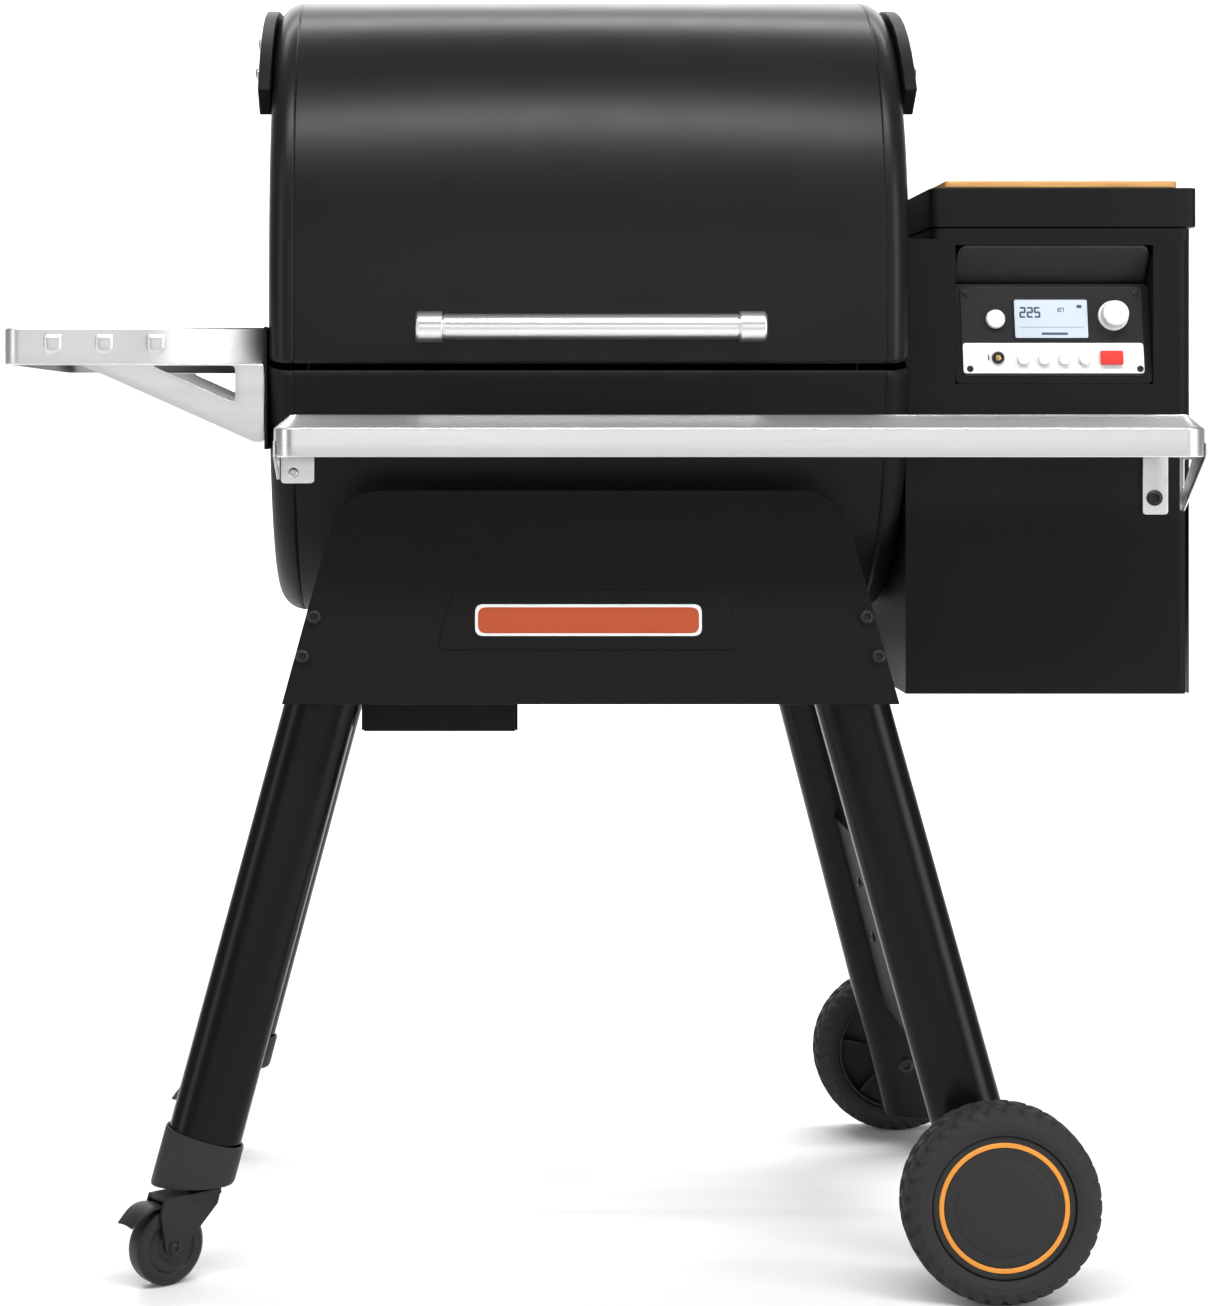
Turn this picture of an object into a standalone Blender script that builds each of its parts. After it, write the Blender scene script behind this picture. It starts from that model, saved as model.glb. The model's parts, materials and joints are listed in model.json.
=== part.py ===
"""Pellet smoker grill: barrel with hinged lid, pellet hopper, shelves, splayed legs, wheels and casters."""

from math import atan2, cos, hypot, pi, radians, sin

import bmesh
import bpy
from mathutils import Matrix, Vector

# Clearances and sheet thicknesses
touch_gap = 0.0003
running_gap = 0.0012
facet_gap = 0.0015
sheet = 0.002
plate = 0.003

# Barrel: a rounded oval along X
barrel_x = -0.0145
barrel_length = 0.573
barrel_half_depth = 0.253
barrel_half_height = 0.318
barrel_z = 0.952
barrel_exponent = 2.4
barrel_wall = 0.003
barrel_steps = 48
end_cap_bulge = 0.0255

# Lid and its split from the body
lid_gap = 0.007
split_z = 0.8845
split_bend_y = -0.12
hinge_y = barrel_half_depth - 0.081
hinge_z = barrel_z + barrel_half_height - 0.036
arm_inset = 0.008
arm_width = 0.034
arm_thickness = 0.0125
arm_front_reach = radians(52.0)

# Handle
handle_x = barrel_x - 0.0015
handle_length = 0.332
handle_z = 0.9215
handle_radius = 0.0122
handle_standoff = 0.050
handle_cap_length = 0.0265
handle_cap_wall = 0.0025
handle_post_radius = 0.008

# Hopper
hopper_gap = 0.0009
hopper_left_x = barrel_x + barrel_length / 2 + end_cap_bulge + hopper_gap
hopper_width = 0.2818
hopper_setback = 0.052
hopper_front_y = -(barrel_half_depth - hopper_setback)
hopper_depth = 0.392
hopper_bottom_z = 0.5639
hopper_top_z = 1.0115
neck_inset = 0.014
hopper_floor_z = 0.775
hopper_corner = 0.012
inlet_size = (0.035, 0.025)
inlet_inset = 0.050
inlet_z = 0.630
inlet_depth = 0.006
fan_at = (0.090, 0.095)
fan_lift = 0.010
fan_radius = 0.040
fan_height = 0.036
hopper_bay_depth = 0.062
hopper_lid_left_x = hopper_left_x + 0.0244
hopper_lid_right_x = hopper_left_x + hopper_width + 0.0060
hopper_lid_bottom_z = 1.0233
hopper_lid_height = 0.0387
hopper_lid_wall = 0.008
hopper_lid_roof = 0.004
hopper_lid_setback = 0.004
board_left_x = hopper_lid_left_x + 0.0162
board_width = hopper_width - 0.0518
board_thickness = 0.0076
board_inset = 0.010

# Front shelf
shelf_front_y = -(barrel_half_depth + 0.091)
shelf_left_x = barrel_x - barrel_length / 2 - 0.0136
shelf_right_x = hopper_left_x + hopper_width - 0.0216
shelf_flange_top_z = 0.8252
shelf_flange_height = 0.0268
shelf_rise = 0.0131
shelf_slope_run = 0.016
shelf_hinge_y = -(barrel_half_depth + 0.015)
shelf_hinge_z = 0.800
gusset_left_drop = 0.023
gusset_right_drop = 0.054
gusset_foot = 0.010
gusset_nose = 0.006

# Side shelf
side_shelf_gap = 0.0040
side_shelf_length = 0.2545
side_shelf_right_x = barrel_x - barrel_length / 2 - end_cap_bulge - side_shelf_gap
side_shelf_left_x = side_shelf_right_x - side_shelf_length
side_shelf_front_y = -(barrel_half_depth - 0.020)
side_shelf_depth = 0.410
side_shelf_top_z = 0.9233
side_shelf_flange = 0.0365
side_window_inset = (0.070, 0.028)
side_gusset_length = 0.180
side_gusset_drop = 0.076

# Control panel: (sideways offset, distance up the slope) from its lower edge's middle
panel_x = hopper_left_x + hopper_width / 2 + 0.0055
panel_width = 0.180
panel_height = 0.0905
panel_tilt = radians(10.8)
panel_bottom_z = 0.8767
panel_thickness = 0.004
recess_width = 0.1945
recess_bottom_z = 0.8688
recess_top_z = 1.0056
recess_depth = 0.034
display_at = (-0.0010, 0.0575)
display_size = (0.0721, 0.0386)
display_thickness = 0.001
power_at = (-0.0562, 0.0570)
power_radius = 0.0096
knob_at = (0.0604, 0.0606)
knob_radius = 0.0131
knob_height = 0.014
jack_at = (-0.0548, 0.0181)
jack_radius = 0.0061
menu_at = (-0.0301, 0.0163)
menu_pitch = 0.0202
menu_count = 4
menu_radius = 0.0059
ignite_at = (0.0568, 0.0178)
ignite_size = (0.0220, 0.0137)
button_height = 0.0032
button_travel = 0.0015

# Legs
leg_centre_y = 0.008
leg_spread_x = barrel_length / 2 - 0.098
leg_spread_y = barrel_half_depth - 0.083
leg_reference_z = 0.8285
leg_slope_x = 0.268
leg_slope_y = 0.090
leg_width = 0.072
leg_thickness = 0.050
leg_top_z = 0.645
leg_bottom_z = 0.035
leg_wall = 0.003
leg_roundness = 0.92
left_leg_bottom_z = 0.128
collar_height = 0.046
collar_drop = 0.037
collar_wall = 0.0035
brace_low_z = 0.175
brace_high_z = 0.386
brace_inset = 0.010

# Aprons
apron_top_z = 0.7658
apron_bottom_z = 0.5605
apron_top_y = -(barrel_half_depth - 0.007)
apron_tilt = 0.090
apron_top_half_width = leg_spread_x + leg_width / 2 + 0.0300
apron_bottom_half_width = leg_spread_x + leg_width / 2 + 0.0719
apron_corner = 0.048
apron_corner_drop = 0.050

# Wheels and casters
wheel_radius = 0.094
wheel_width = 0.050
wheel_clearance = 0.024895
wheel_leg_reach = leg_spread_y + leg_slope_y * (leg_reference_z - wheel_radius) + leg_thickness / 2
wheel_track = 2 * (wheel_leg_reach + wheel_clearance + wheel_width / 2)
hub_radius = 0.068
axle_radius = 0.0055
wheel_inner_dish = 0.014
wheel_rim = 0.004
caster_radius = 0.0375
caster_width = 0.023
caster_trail = 0.0375
caster_yaw = radians(38.0)
caster_plate = 0.003
fork_top_z = 0.086
fork_roof = 0.005
fork_back = 0.016
stem_radius = 0.011
caster_axle_radius = 0.0044

# Inside the barrel
grate_half_width = barrel_length / 2 - 0.0085
grate_bar = 0.005
grate_slots = 15
grate_thickness = 0.006
main_grate_z = 0.895
middle_grate_z = 1.000
upper_grate_z = 1.100
main_grate_depth = 2 * (barrel_half_depth - 0.033)
middle_grate_depth = 2 * (barrel_half_depth - 0.093)
upper_grate_depth = 2 * (barrel_half_depth - 0.133)
rack_depth = 0.012
drip_tray_z = 0.815
drip_tray_depth = 2 * (barrel_half_depth - 0.053)
drip_tray_lip = 0.014
drip_tray_end_gap = 0.012
baffle_z = 0.775
baffle_half_length = 0.100
fire_pot_radius = 0.052
fire_pot_height = 0.070
auger_z = 0.722
auger_y = 0.0
auger_radius = 0.019
auger_pitch = 0.048
auger_tube_radius = 0.0235
auger_start_x = 0.045
auger_end_x = hopper_left_x + 0.1536
auger_tube_end_x = hopper_left_x + 0.1200
motor_width = 0.070
drain_radius = 0.012

# Grease pan under the barrel
pan_width = 0.151
pan_front_y = -0.165
pan_length = 0.240
pan_top_z = 0.5590
pan_height = 0.0360
pan_gap = 0.001956
leg_middle_at_pan = barrel_x - leg_spread_x - leg_slope_x * (leg_reference_z - pan_top_z)
pan_left_x = leg_middle_at_pan + leg_width / 2 * hypot(1.0, leg_slope_x) + pan_gap
rail_setback = 0.030

round_steps = 24
small_steps = 16


def clear_scene():
    for old in list(bpy.data.objects):
        bpy.data.objects.remove(old, do_unlink=True)


def make_material(name, colour, roughness, metallic):
    material = bpy.data.materials.new(name)
    material.use_nodes = True
    shader = material.node_tree.nodes["Principled BSDF"]
    shader.inputs["Base Color"].default_value = (*colour, 1.0)
    shader.inputs["Roughness"].default_value = roughness
    shader.inputs["Metallic"].default_value = metallic
    material.diffuse_color = (*colour, 1.0)
    return material


def add_object(name, mesh_data, material, origin=(0.0, 0.0, 0.0), smooth=False):
    """Makes an object from a bmesh in world coordinates, with its origin at a given point."""
    bmesh.ops.remove_doubles(mesh_data, verts=mesh_data.verts, dist=1e-7)
    bmesh.ops.recalc_face_normals(mesh_data, faces=mesh_data.faces)
    bmesh.ops.transform(mesh_data, matrix=Matrix.Translation(-Vector(origin)), verts=mesh_data.verts)
    mesh = bpy.data.meshes.new(name)
    mesh_data.to_mesh(mesh)
    mesh_data.free()
    mesh.materials.append(material)
    if smooth:
        mesh.shade_smooth()
        mesh.set_sharp_from_angle(angle=radians(35.0))
    made = bpy.data.objects.new(name, mesh)
    made.location = origin
    bpy.context.scene.collection.objects.link(made)
    return made


def shape_from_rings(rings, wrap=False, into=None):
    """Skins equal rings of points. With wrap the last ring joins the first, otherwise both ends are capped."""
    shape = into or bmesh.new()
    rows = [[shape.verts.new(point) for point in ring] for ring in rings]
    count = len(rows[0])
    pairs = list(zip(rows, rows[1:]))
    if wrap:
        pairs.append((rows[-1], rows[0]))
    for near, far in pairs:
        for i in range(count):
            j = (i + 1) % count
            shape.faces.new((near[i], near[j], far[j], far[i]))
    if not wrap:
        shape.faces.new(rows[0])
        shape.faces.new(rows[-1])
    return shape


def point_on(axis, along, u, v):
    """A point at distance along the axis, with u and v on the two other axes in X, Y, Z order."""
    place = {"X": (along, u, v), "Y": (u, along, v), "Z": (u, v, along)}
    return Vector(place[axis])


def prism(outline, axis, low, high):
    rings = [[point_on(axis, along, u, v) for u, v in outline] for along in (low, high)]
    return shape_from_rings(rings)


def box(low, high):
    outline = [(low[0], low[1]), (high[0], low[1]), (high[0], high[1]), (low[0], high[1])]
    return prism(outline, "Z", low[2], high[2])


def circle(radius, steps, centre=(0.0, 0.0)):
    return [(centre[0] + radius * cos(2 * pi * i / steps), centre[1] + radius * sin(2 * pi * i / steps))
            for i in range(steps)]


def rounded_rectangle(low, high, radius, steps=4):
    corners = [(high[0] - radius, high[1] - radius, 0), (low[0] + radius, high[1] - radius, 1),
               (low[0] + radius, low[1] + radius, 2), (high[0] - radius, low[1] + radius, 3)]
    outline = []
    for x, y, quarter in corners:
        for i in range(steps + 1):
            angle = (quarter + i / steps) * pi / 2
            outline.append((x + radius * cos(angle), y + radius * sin(angle)))
    return outline


def rod(start, end, radius, steps=small_steps):
    """A round bar between two points."""
    start, end = Vector(start), Vector(end)
    turn = (end - start).to_track_quat("Z", "Y")
    rings = [[centre + turn @ Vector((u, v, 0.0)) for u, v in circle(radius, steps)] for centre in (start, end)]
    return shape_from_rings(rings)


def turned_rings(profile, centre, axis, steps):
    """One ring of points about an axis through centre for each (radius, height) pair."""
    turn = Vector(axis).to_track_quat("Z", "Y")
    rings = []
    for radius, height in profile:
        rings.append([Vector(centre) + turn @ Vector((u, v, height)) for u, v in circle(radius, steps)])
    return rings


def turned(profile, centre, axis, steps=round_steps):
    """Turns a closed outline of (radius, height) pairs, all clear of the axis."""
    return shape_from_rings(turned_rings(profile, centre, axis, steps), wrap=True)


def turned_solid(profile, centre, axis, steps=round_steps):
    """As turned, for an open outline whose two ends are capped flat."""
    return shape_from_rings(turned_rings(profile, centre, axis, steps))


def cutter(name, shape):
    tool = add_object(name, shape, materials["cutter"])
    tool.hide_render = True
    tool.display_type = "WIRE"
    return tool


def combine(target, tool, operation):
    step = target.modifiers.new(tool.name, "BOOLEAN")
    step.operation = operation
    step.solver = "EXACT"
    step.object = tool


def barrel_point(angle, inset=0.0):
    """A (y, z) point of the barrel's oval. Angle 0 is the front, a quarter turn is the top."""
    power = 2.0 / barrel_exponent
    across, up = cos(angle), sin(angle)
    y = -(barrel_half_depth - inset) * abs(across) ** power * (1 if across > 0 else -1)
    z = barrel_z + (barrel_half_height - inset) * abs(up) ** power * (1 if up > 0 else -1)
    return y, z


def barrel_angle_at_front(z):
    return -(abs(barrel_z - z) / barrel_half_height) ** (barrel_exponent / 2.0) * (1 if z < barrel_z else -1)


def barrel_angle_at_hinge():
    """The oval's angle nearest to the hinge, found by the directions from the barrel's centre."""
    y_share = hinge_y / barrel_half_depth
    z_share = (hinge_z - barrel_z) / barrel_half_height
    half_power = barrel_exponent / 2.0
    return pi - atan2(z_share ** half_power, y_share ** half_power)


def band_outline(start, end, steps):
    """The section of a sheet that follows the oval from one angle to another."""
    angles = [start + (end - start) * i / steps for i in range(steps + 1)]
    outer = [barrel_point(angle) for angle in angles]
    inner = [barrel_point(angle, barrel_wall) for angle in reversed(angles)]
    return outer + inner


def barrel_left():
    return barrel_x - barrel_length / 2


def barrel_right():
    return barrel_x + barrel_length / 2


def floor_z(y):
    """The height of the barrel's inner floor at a distance from its middle."""
    share = abs(y) / (barrel_half_depth - barrel_wall)
    return barrel_z - (barrel_half_height - barrel_wall) * (1 - share ** barrel_exponent) ** (1 / barrel_exponent)


def surface_y(z, inset=0.0):
    """The front surface's y at a height."""
    share = abs(z - barrel_z) / (barrel_half_height - inset)
    return -(barrel_half_depth - inset) * (1 - share ** barrel_exponent) ** (1 / barrel_exponent)


def lid_region(grow):
    """The outline in Y and Z of the space that the lid fills: above the split, in front of the hinge."""
    top = barrel_z + barrel_half_height + 0.05
    front = -barrel_half_depth - 0.05
    reach = hypot(hinge_y - split_bend_y, hinge_z - split_z)
    normal = ((hinge_z - split_z) / reach, -(hinge_y - split_bend_y) / reach)
    bend = (split_bend_y + grow * normal[0] * 0.5, split_z - grow)
    back = (hinge_y + grow * normal[0], hinge_z + grow * normal[1])
    return [(front, top), (front, split_z - grow), bend, back, (back[0], top)]


def make_barrel():
    hinge_angle = barrel_angle_at_hinge()
    gap_angle = lid_gap / 2 / barrel_half_height
    front_low = barrel_angle_at_front(split_z - lid_gap / 2)
    front_high = barrel_angle_at_front(split_z + lid_gap / 2)
    lid = prism(band_outline(front_high, hinge_angle - gap_angle, barrel_steps // 2), "X",
                barrel_left() + touch_gap, barrel_right() - touch_gap)
    add_object("lid_shell", lid, materials["black_paint"], (barrel_x, hinge_y, hinge_z), smooth=True)
    body = prism(band_outline(hinge_angle + gap_angle, 2 * pi + front_low, barrel_steps * 2 // 3), "X",
                 barrel_left() + touch_gap, barrel_right() - touch_gap)
    shell = add_object("body_shell", body, materials["black_paint"], smooth=True)
    drain_x = pan_left_x + pan_width / 2
    drain = cutter("drain_cutter", rod((drain_x, 0, barrel_z - barrel_half_height - 0.02),
                                       (drain_x, 0, barrel_z - barrel_half_height + 0.02), drain_radius))
    combine(shell, drain, "DIFFERENCE")


def end_cap_rings(side):
    """Rings of a hollow, round-edged cap: outside from the seam to the flat face, then back inside."""
    seam = barrel_left() if side < 0 else barrel_right()
    steps = 4
    inner_bulge = end_cap_bulge - barrel_wall
    outer = []
    inner = []
    for i in range(steps + 1):
        angle = pi / 2 * i / steps
        outer.append((seam + side * end_cap_bulge * sin(angle), end_cap_bulge * (1 - cos(angle))))
        inner.insert(0, (seam + side * inner_bulge * sin(angle), barrel_wall + inner_bulge * (1 - cos(angle))))
    return outer, inner


def end_cap_shape(side):
    outer, inner = end_cap_rings(side)
    shape = bmesh.new()
    angles = [2 * pi * i / barrel_steps for i in range(barrel_steps)]
    rows = []
    for x, inset in outer + inner:
        rows.append([shape.verts.new((x, *barrel_point(angle, inset))) for angle in angles])
    skins = (rows[:len(outer)], rows[len(outer):])
    for near, far in [pair for skin in skins for pair in zip(skin, skin[1:])]:
        for i in range(barrel_steps):
            j = (i + 1) % barrel_steps
            shape.faces.new((near[i], near[j], far[j], far[i]))
    shape.faces.new(rows[len(outer) - 1])
    shape.faces.new(rows[len(outer)])
    for i in range(barrel_steps):
        j = (i + 1) % barrel_steps
        shape.faces.new((rows[0][i], rows[0][j], rows[-1][j], rows[-1][i]))
    return shape


def make_end_caps():
    auger_hole = cutter("auger_hole_cutter", rod((barrel_right() - 0.01, auger_y, auger_z),
                                                 (barrel_right() + 0.06, auger_y, auger_z),
                                                 auger_tube_radius + touch_gap * 2, round_steps))
    for side, word in ((-1, "left"), (1, "right")):
        seam = barrel_left() if side < 0 else barrel_right()
        low, high = sorted((seam - side * 0.02, seam + side * 0.08))
        lid_space = cutter(f"lid_space_{word}", prism(lid_region(-lid_gap / 2), "X", low, high))
        body_space = cutter(f"body_space_{word}", prism(lid_region(lid_gap / 2), "X", low, high))
        upper = add_object(f"lid_end_{word}", end_cap_shape(side), materials["black_paint"],
                           (seam, hinge_y, hinge_z), smooth=True)
        combine(upper, lid_space, "INTERSECT")
        lower = add_object(f"body_end_{word}", end_cap_shape(side), materials["black_paint"], smooth=True)
        combine(lower, body_space, "DIFFERENCE")
        if side > 0:
            combine(lower, auger_hole, "DIFFERENCE")


def make_hinge_arms():
    """A curved arm on each end of the lid follows its upper edge from the front to the pivot at the back."""
    start = pi / 2 - arm_front_reach
    end = barrel_angle_at_hinge()
    steps = 14
    angles = [start + (end - start) * i / steps for i in range(steps + 1)]
    outline = [barrel_point(angle, arm_inset) for angle in angles]
    outline += [barrel_point(angle, arm_inset + arm_width) for angle in reversed(angles)]
    for side, word in ((-1, "left"), (1, "right")):
        face = (barrel_left() if side < 0 else barrel_right()) + side * (end_cap_bulge + touch_gap)
        low, high = sorted((face, face + side * arm_thickness))
        add_object(f"hinge_arm_{word}", prism(outline, "X", low, high), materials["black_paint"],
                   (face, hinge_y, hinge_z))


def make_handle():
    bar_y = surface_y(handle_z) - handle_standoff
    half = handle_length / 2
    bar = add_object("lid_handle", rod((handle_x - half, bar_y, handle_z), (handle_x + half, bar_y, handle_z),
                                       handle_radius, round_steps), materials["chrome"],
                     (handle_x, bar_y, handle_z), smooth=True)
    for side, word in ((-1, "left"), (1, "right")):
        collar_low = handle_x + side * half - (handle_cap_length if side > 0 else 0)
        collar_high = collar_low + handle_cap_length
        sleeve = cutter(f"handle_sleeve_{word}", rod((collar_low, bar_y, handle_z), (collar_high, bar_y, handle_z),
                                                     handle_radius + handle_cap_wall, round_steps))
        combine(bar, sleeve, "UNION")
        middle = handle_x + side * (half - handle_cap_length / 2)
        foot = (middle, surface_y(handle_z) - touch_gap, handle_z)
        post = cutter(f"handle_post_{word}", rod((middle, bar_y, handle_z), foot, handle_post_radius))
        combine(bar, post, "UNION")


def grate_shape(depth, centre_y, low_z):
    """A flat grate: a rim with long bars across it, as cells of a grid without the slots."""
    width = grate_half_width * 2
    pitch = (width - grate_bar) / grate_slots
    xs = []
    for i in range(grate_slots + 1):
        left = barrel_x - grate_half_width + i * pitch
        xs += [left, left + grate_bar]
    front = centre_y - depth / 2
    ys = [front, front + grate_bar, front + depth - grate_bar, front + depth]
    shape = bmesh.new()
    layers = []
    for z in (low_z, low_z + grate_thickness):
        layers.append([[shape.verts.new((x, y, z)) for y in ys] for x in xs])
    cell_sides = ((-1, 0, (0, 0), (0, 1)), (1, 0, (1, 0), (1, 1)), (0, -1, (0, 0), (1, 0)), (0, 1, (0, 1), (1, 1)))
    filled = {(i, j) for i in range(len(xs) - 1) for j in range(3) if not (i % 2 == 1 and j == 1)}
    for i, j in filled:
        for layer in layers:
            shape.faces.new((layer[i][j], layer[i + 1][j], layer[i + 1][j + 1], layer[i][j + 1]))
        for di, dj, a, b in cell_sides:
            if (i + di, j + dj) not in filled:
                low_a, low_b = layers[0][i + a[0]][j + a[1]], layers[0][i + b[0]][j + b[1]]
                high_a, high_b = layers[1][i + a[0]][j + a[1]], layers[1][i + b[0]][j + b[1]]
                shape.faces.new((low_a, low_b, high_b, high_a))
    return shape


def grates():
    return (("main_grate", main_grate_z, main_grate_depth), ("middle_grate", middle_grate_z, middle_grate_depth),
            ("upper_grate", upper_grate_z, upper_grate_depth))


def make_grates():
    for name, low_z, depth in grates():
        add_object(name, grate_shape(depth, 0.0, low_z), materials["wire"], (barrel_x, 0.0, low_z))


def make_racks():
    """A rack at each end holds the grates: an upright with a ledge under each grate."""
    for side, word in ((-1, "left"), (1, "right")):
        inner = barrel_x + side * (grate_half_width - rack_depth)
        back = barrel_x + side * (grate_half_width + touch_gap * 3)
        wall = back + side * plate
        base_z = drip_tray_z + 0.02
        top_z = upper_grate_z + 0.02
        outline = [(wall, base_z), (wall, top_z), (back, top_z)]
        for _, low_z, _ in reversed(grates()):
            ledge_top = low_z - touch_gap
            ledge_low = ledge_top - plate
            outline += [(back, ledge_top), (inner, ledge_top), (inner, ledge_low), (back, ledge_low)]
        outline.append((back, base_z))
        half = upper_grate_depth / 2 - 0.02
        add_object(f"grate_rack_{word}", prism(outline, "Y", -half, half), materials["wire"])


def make_fire_parts():
    tray_half = drip_tray_depth / 2
    lip = drip_tray_lip
    inner_half = tray_half - sheet
    tray = [(-tray_half, lip), (-tray_half, 0.0), (tray_half, 0.0), (tray_half, lip),
            (inner_half, lip), (inner_half, sheet), (-inner_half, sheet), (-inner_half, lip)]
    outline = [(y, drip_tray_z + z) for y, z in tray]
    shape = prism(outline, "X", barrel_left() + drip_tray_end_gap, barrel_right() - drip_tray_end_gap)
    add_object("drip_tray", shape, materials["dark_steel"], (barrel_x, 0.0, drip_tray_z))
    half = fire_pot_radius * 2.2
    legs_z = floor_z(half) + facet_gap
    table = [(-half, legs_z), (-half, baffle_z), (half, baffle_z), (half, legs_z), (half - sheet, legs_z),
             (half - sheet, baffle_z - sheet), (-half + sheet, baffle_z - sheet), (-half + sheet, legs_z)]
    add_object("heat_baffle", prism(table, "X", -baffle_half_length, baffle_half_length), materials["dark_steel"])
    base = floor_z(fire_pot_radius) + facet_gap
    pot = turned([(fire_pot_radius, base), (fire_pot_radius, base + fire_pot_height),
                  (fire_pot_radius - sheet, base + fire_pot_height), (fire_pot_radius - sheet, base)],
                 (0.0, 0.0, 0.0), (0, 0, 1))
    add_object("fire_pot", pot, materials["dark_steel"], smooth=True)


def auger_shape():
    """A shaft with a helical flight: each ring of the flight turns a little further along X."""
    turns = (auger_end_x - auger_start_x - 0.02) / auger_pitch
    steps_per_turn = 10
    count = int(turns * steps_per_turn)
    core = auger_radius * 0.42
    shape = bmesh.new()
    rows = []
    sides = 8
    for i in range(count + 1):
        x = auger_start_x + 0.008 + auger_pitch * i / steps_per_turn
        lead = 2 * pi * i / steps_per_turn
        row = []
        for k in range(sides):
            around = 2 * pi * k / sides
            radius = auger_radius if k == 0 else core
            y, z = radius * cos(around + lead), radius * sin(around + lead)
            row.append(shape.verts.new((x, auger_y + y, auger_z + z)))
        rows.append(row)
    for near, far in zip(rows, rows[1:]):
        for k in range(sides):
            shape.faces.new((near[k], near[(k + 1) % sides], far[(k + 1) % sides], far[k]))
    shape.faces.new(rows[0])
    shape.faces.new(rows[-1])
    return shape


def make_auger():
    add_object("auger", auger_shape(), materials["dark_steel"], (auger_start_x, auger_y, auger_z))
    pot_side = fire_pot_radius + touch_gap * 3
    tube = turned([(auger_tube_radius, pot_side), (auger_tube_radius, auger_tube_end_x),
                   (auger_tube_radius - sheet, auger_tube_end_x), (auger_tube_radius - sheet, pot_side)],
                  (0.0, auger_y, auger_z), (1, 0, 0))
    add_object("auger_tube", tube, materials["dark_steel"], smooth=True)
    motor_x = auger_end_x + running_gap
    half = motor_width / 2
    motor_end = motor_x + motor_width
    motor = box((motor_x, auger_y - half, auger_z - half), (motor_end, auger_y + half, auger_z + half))
    add_object("auger_motor", motor, materials["dark_steel"])


def make_front_shelf():
    """A folded panel: front flange, a slope up behind it, then a flat top. Each end has a gusset under it."""
    top = shelf_flange_top_z
    low = top - shelf_flange_height
    high = top + shelf_rise
    back = shelf_hinge_y + 0.006
    slope_y = shelf_front_y + shelf_slope_run
    inner_y = shelf_front_y + plate
    section = [(shelf_front_y, low), (shelf_front_y, top), (slope_y, high), (back, high), (back, high - plate),
               (slope_y + plate / 2, high - plate), (inner_y, top - plate / 2), (inner_y, low)]
    panel = add_object("front_shelf", prism(section, "X", shelf_left_x, shelf_right_x), materials["stainless"],
                       ((shelf_left_x + shelf_right_x) / 2, shelf_hinge_y, shelf_hinge_z))
    ends = ((shelf_left_x, 1, gusset_left_drop, shelf_hinge_y, "left"),
            (shelf_right_x, -1, gusset_right_drop, shelf_hinge_y + 0.028, "right"))
    for x, inward, drop, gusset_back, word in ends:
        rear = gusset_back - plate
        top_rear = rear if word == "left" else back - plate
        side = [(shelf_front_y, low), (shelf_front_y, top), (slope_y, high), (top_rear, high), (rear, low),
                (rear, low - drop), (rear - gusset_foot, low - drop), (shelf_front_y + gusset_nose, low)]
        gusset = cutter(f"gusset_{word}", prism(side, "X", *sorted((x, x + inward * sheet))))
        combine(panel, gusset, "UNION")


def make_shelf_brackets():
    """A tab at each end bolts to the body or the hopper and carries the shelf's hinge."""
    low = shelf_flange_top_z - shelf_flange_height
    left_low = shelf_left_x + sheet + touch_gap * 2
    left_y = shelf_hinge_y + 0.006 + touch_gap
    left = prism(rounded_rectangle((left_low, low - 0.026), (left_low + 0.032, low + 0.016), 0.003, 2), "Y",
                 left_y, left_y + plate)
    add_object("shelf_bracket_left", left, materials["stainless"])
    right_high = shelf_right_x - sheet - touch_gap * 2
    right_y = hopper_front_y - touch_gap - plate
    right = prism(rounded_rectangle((right_high - 0.025, low - 0.058), (right_high, low + 0.016), 0.003, 2), "Y",
                  right_y, right_y + plate)
    add_object("shelf_bracket_right", right, materials["stainless"])


def make_side_shelf():
    """An inverted tray with flanges all round. Its front and back flanges grow into gussets with a window."""
    right = side_shelf_right_x
    top = side_shelf_top_z
    low = top - side_shelf_flange
    front = side_shelf_front_y
    back = front + side_shelf_depth
    outline = rounded_rectangle((side_shelf_left_x, front), (right, back), 0.0015, 1)
    tray = add_object("side_shelf", prism(outline, "Z", low, top), materials["brushed"])
    hollow = cutter("side_shelf_hollow", box((side_shelf_left_x + sheet, front + sheet, low - 0.01),
                                             (right - sheet, back - sheet, top - sheet)))
    combine(tray, hollow, "DIFFERENCE")
    gusset_left = right - side_gusset_length
    window = cutter("side_gusset_window", prism(
        [(gusset_left + side_window_inset[0], low), (right - side_window_inset[1], low),
         (right - side_window_inset[1], low - side_gusset_drop * 0.48)],
        "Y", front - 0.01, back + 0.01))
    for y in (front, back - sheet):
        outline = [(gusset_left, low + sheet), (gusset_left, low), (right - 0.010, low - side_gusset_drop),
                   (right, low - side_gusset_drop - 0.001), (right, low + sheet)]
        gusset = cutter("side_gusset", prism(outline, "Y", y, y + sheet))
        combine(tray, gusset, "UNION")
    combine(tray, window, "DIFFERENCE")
    strip_x = right + touch_gap
    strip_low = low - side_gusset_drop - 0.006
    strip = box((strip_x, front - sheet, strip_low), (strip_x + plate, back + sheet, top + 0.001))
    add_object("side_shelf_mount", strip, materials["black_paint"])


def panel_normal():
    return Vector((0.0, -cos(panel_tilt), sin(panel_tilt)))


def on_panel(across, up_slope, lift=0.0):
    """A point on the sloping panel, measured from the middle of its lower edge."""
    corner = Vector((panel_x, hopper_front_y + touch_gap, panel_bottom_z))
    up = Vector((0.0, sin(panel_tilt), cos(panel_tilt)))
    return corner + Vector((across, 0.0, 0.0)) + up * up_slope + panel_normal() * lift


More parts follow.
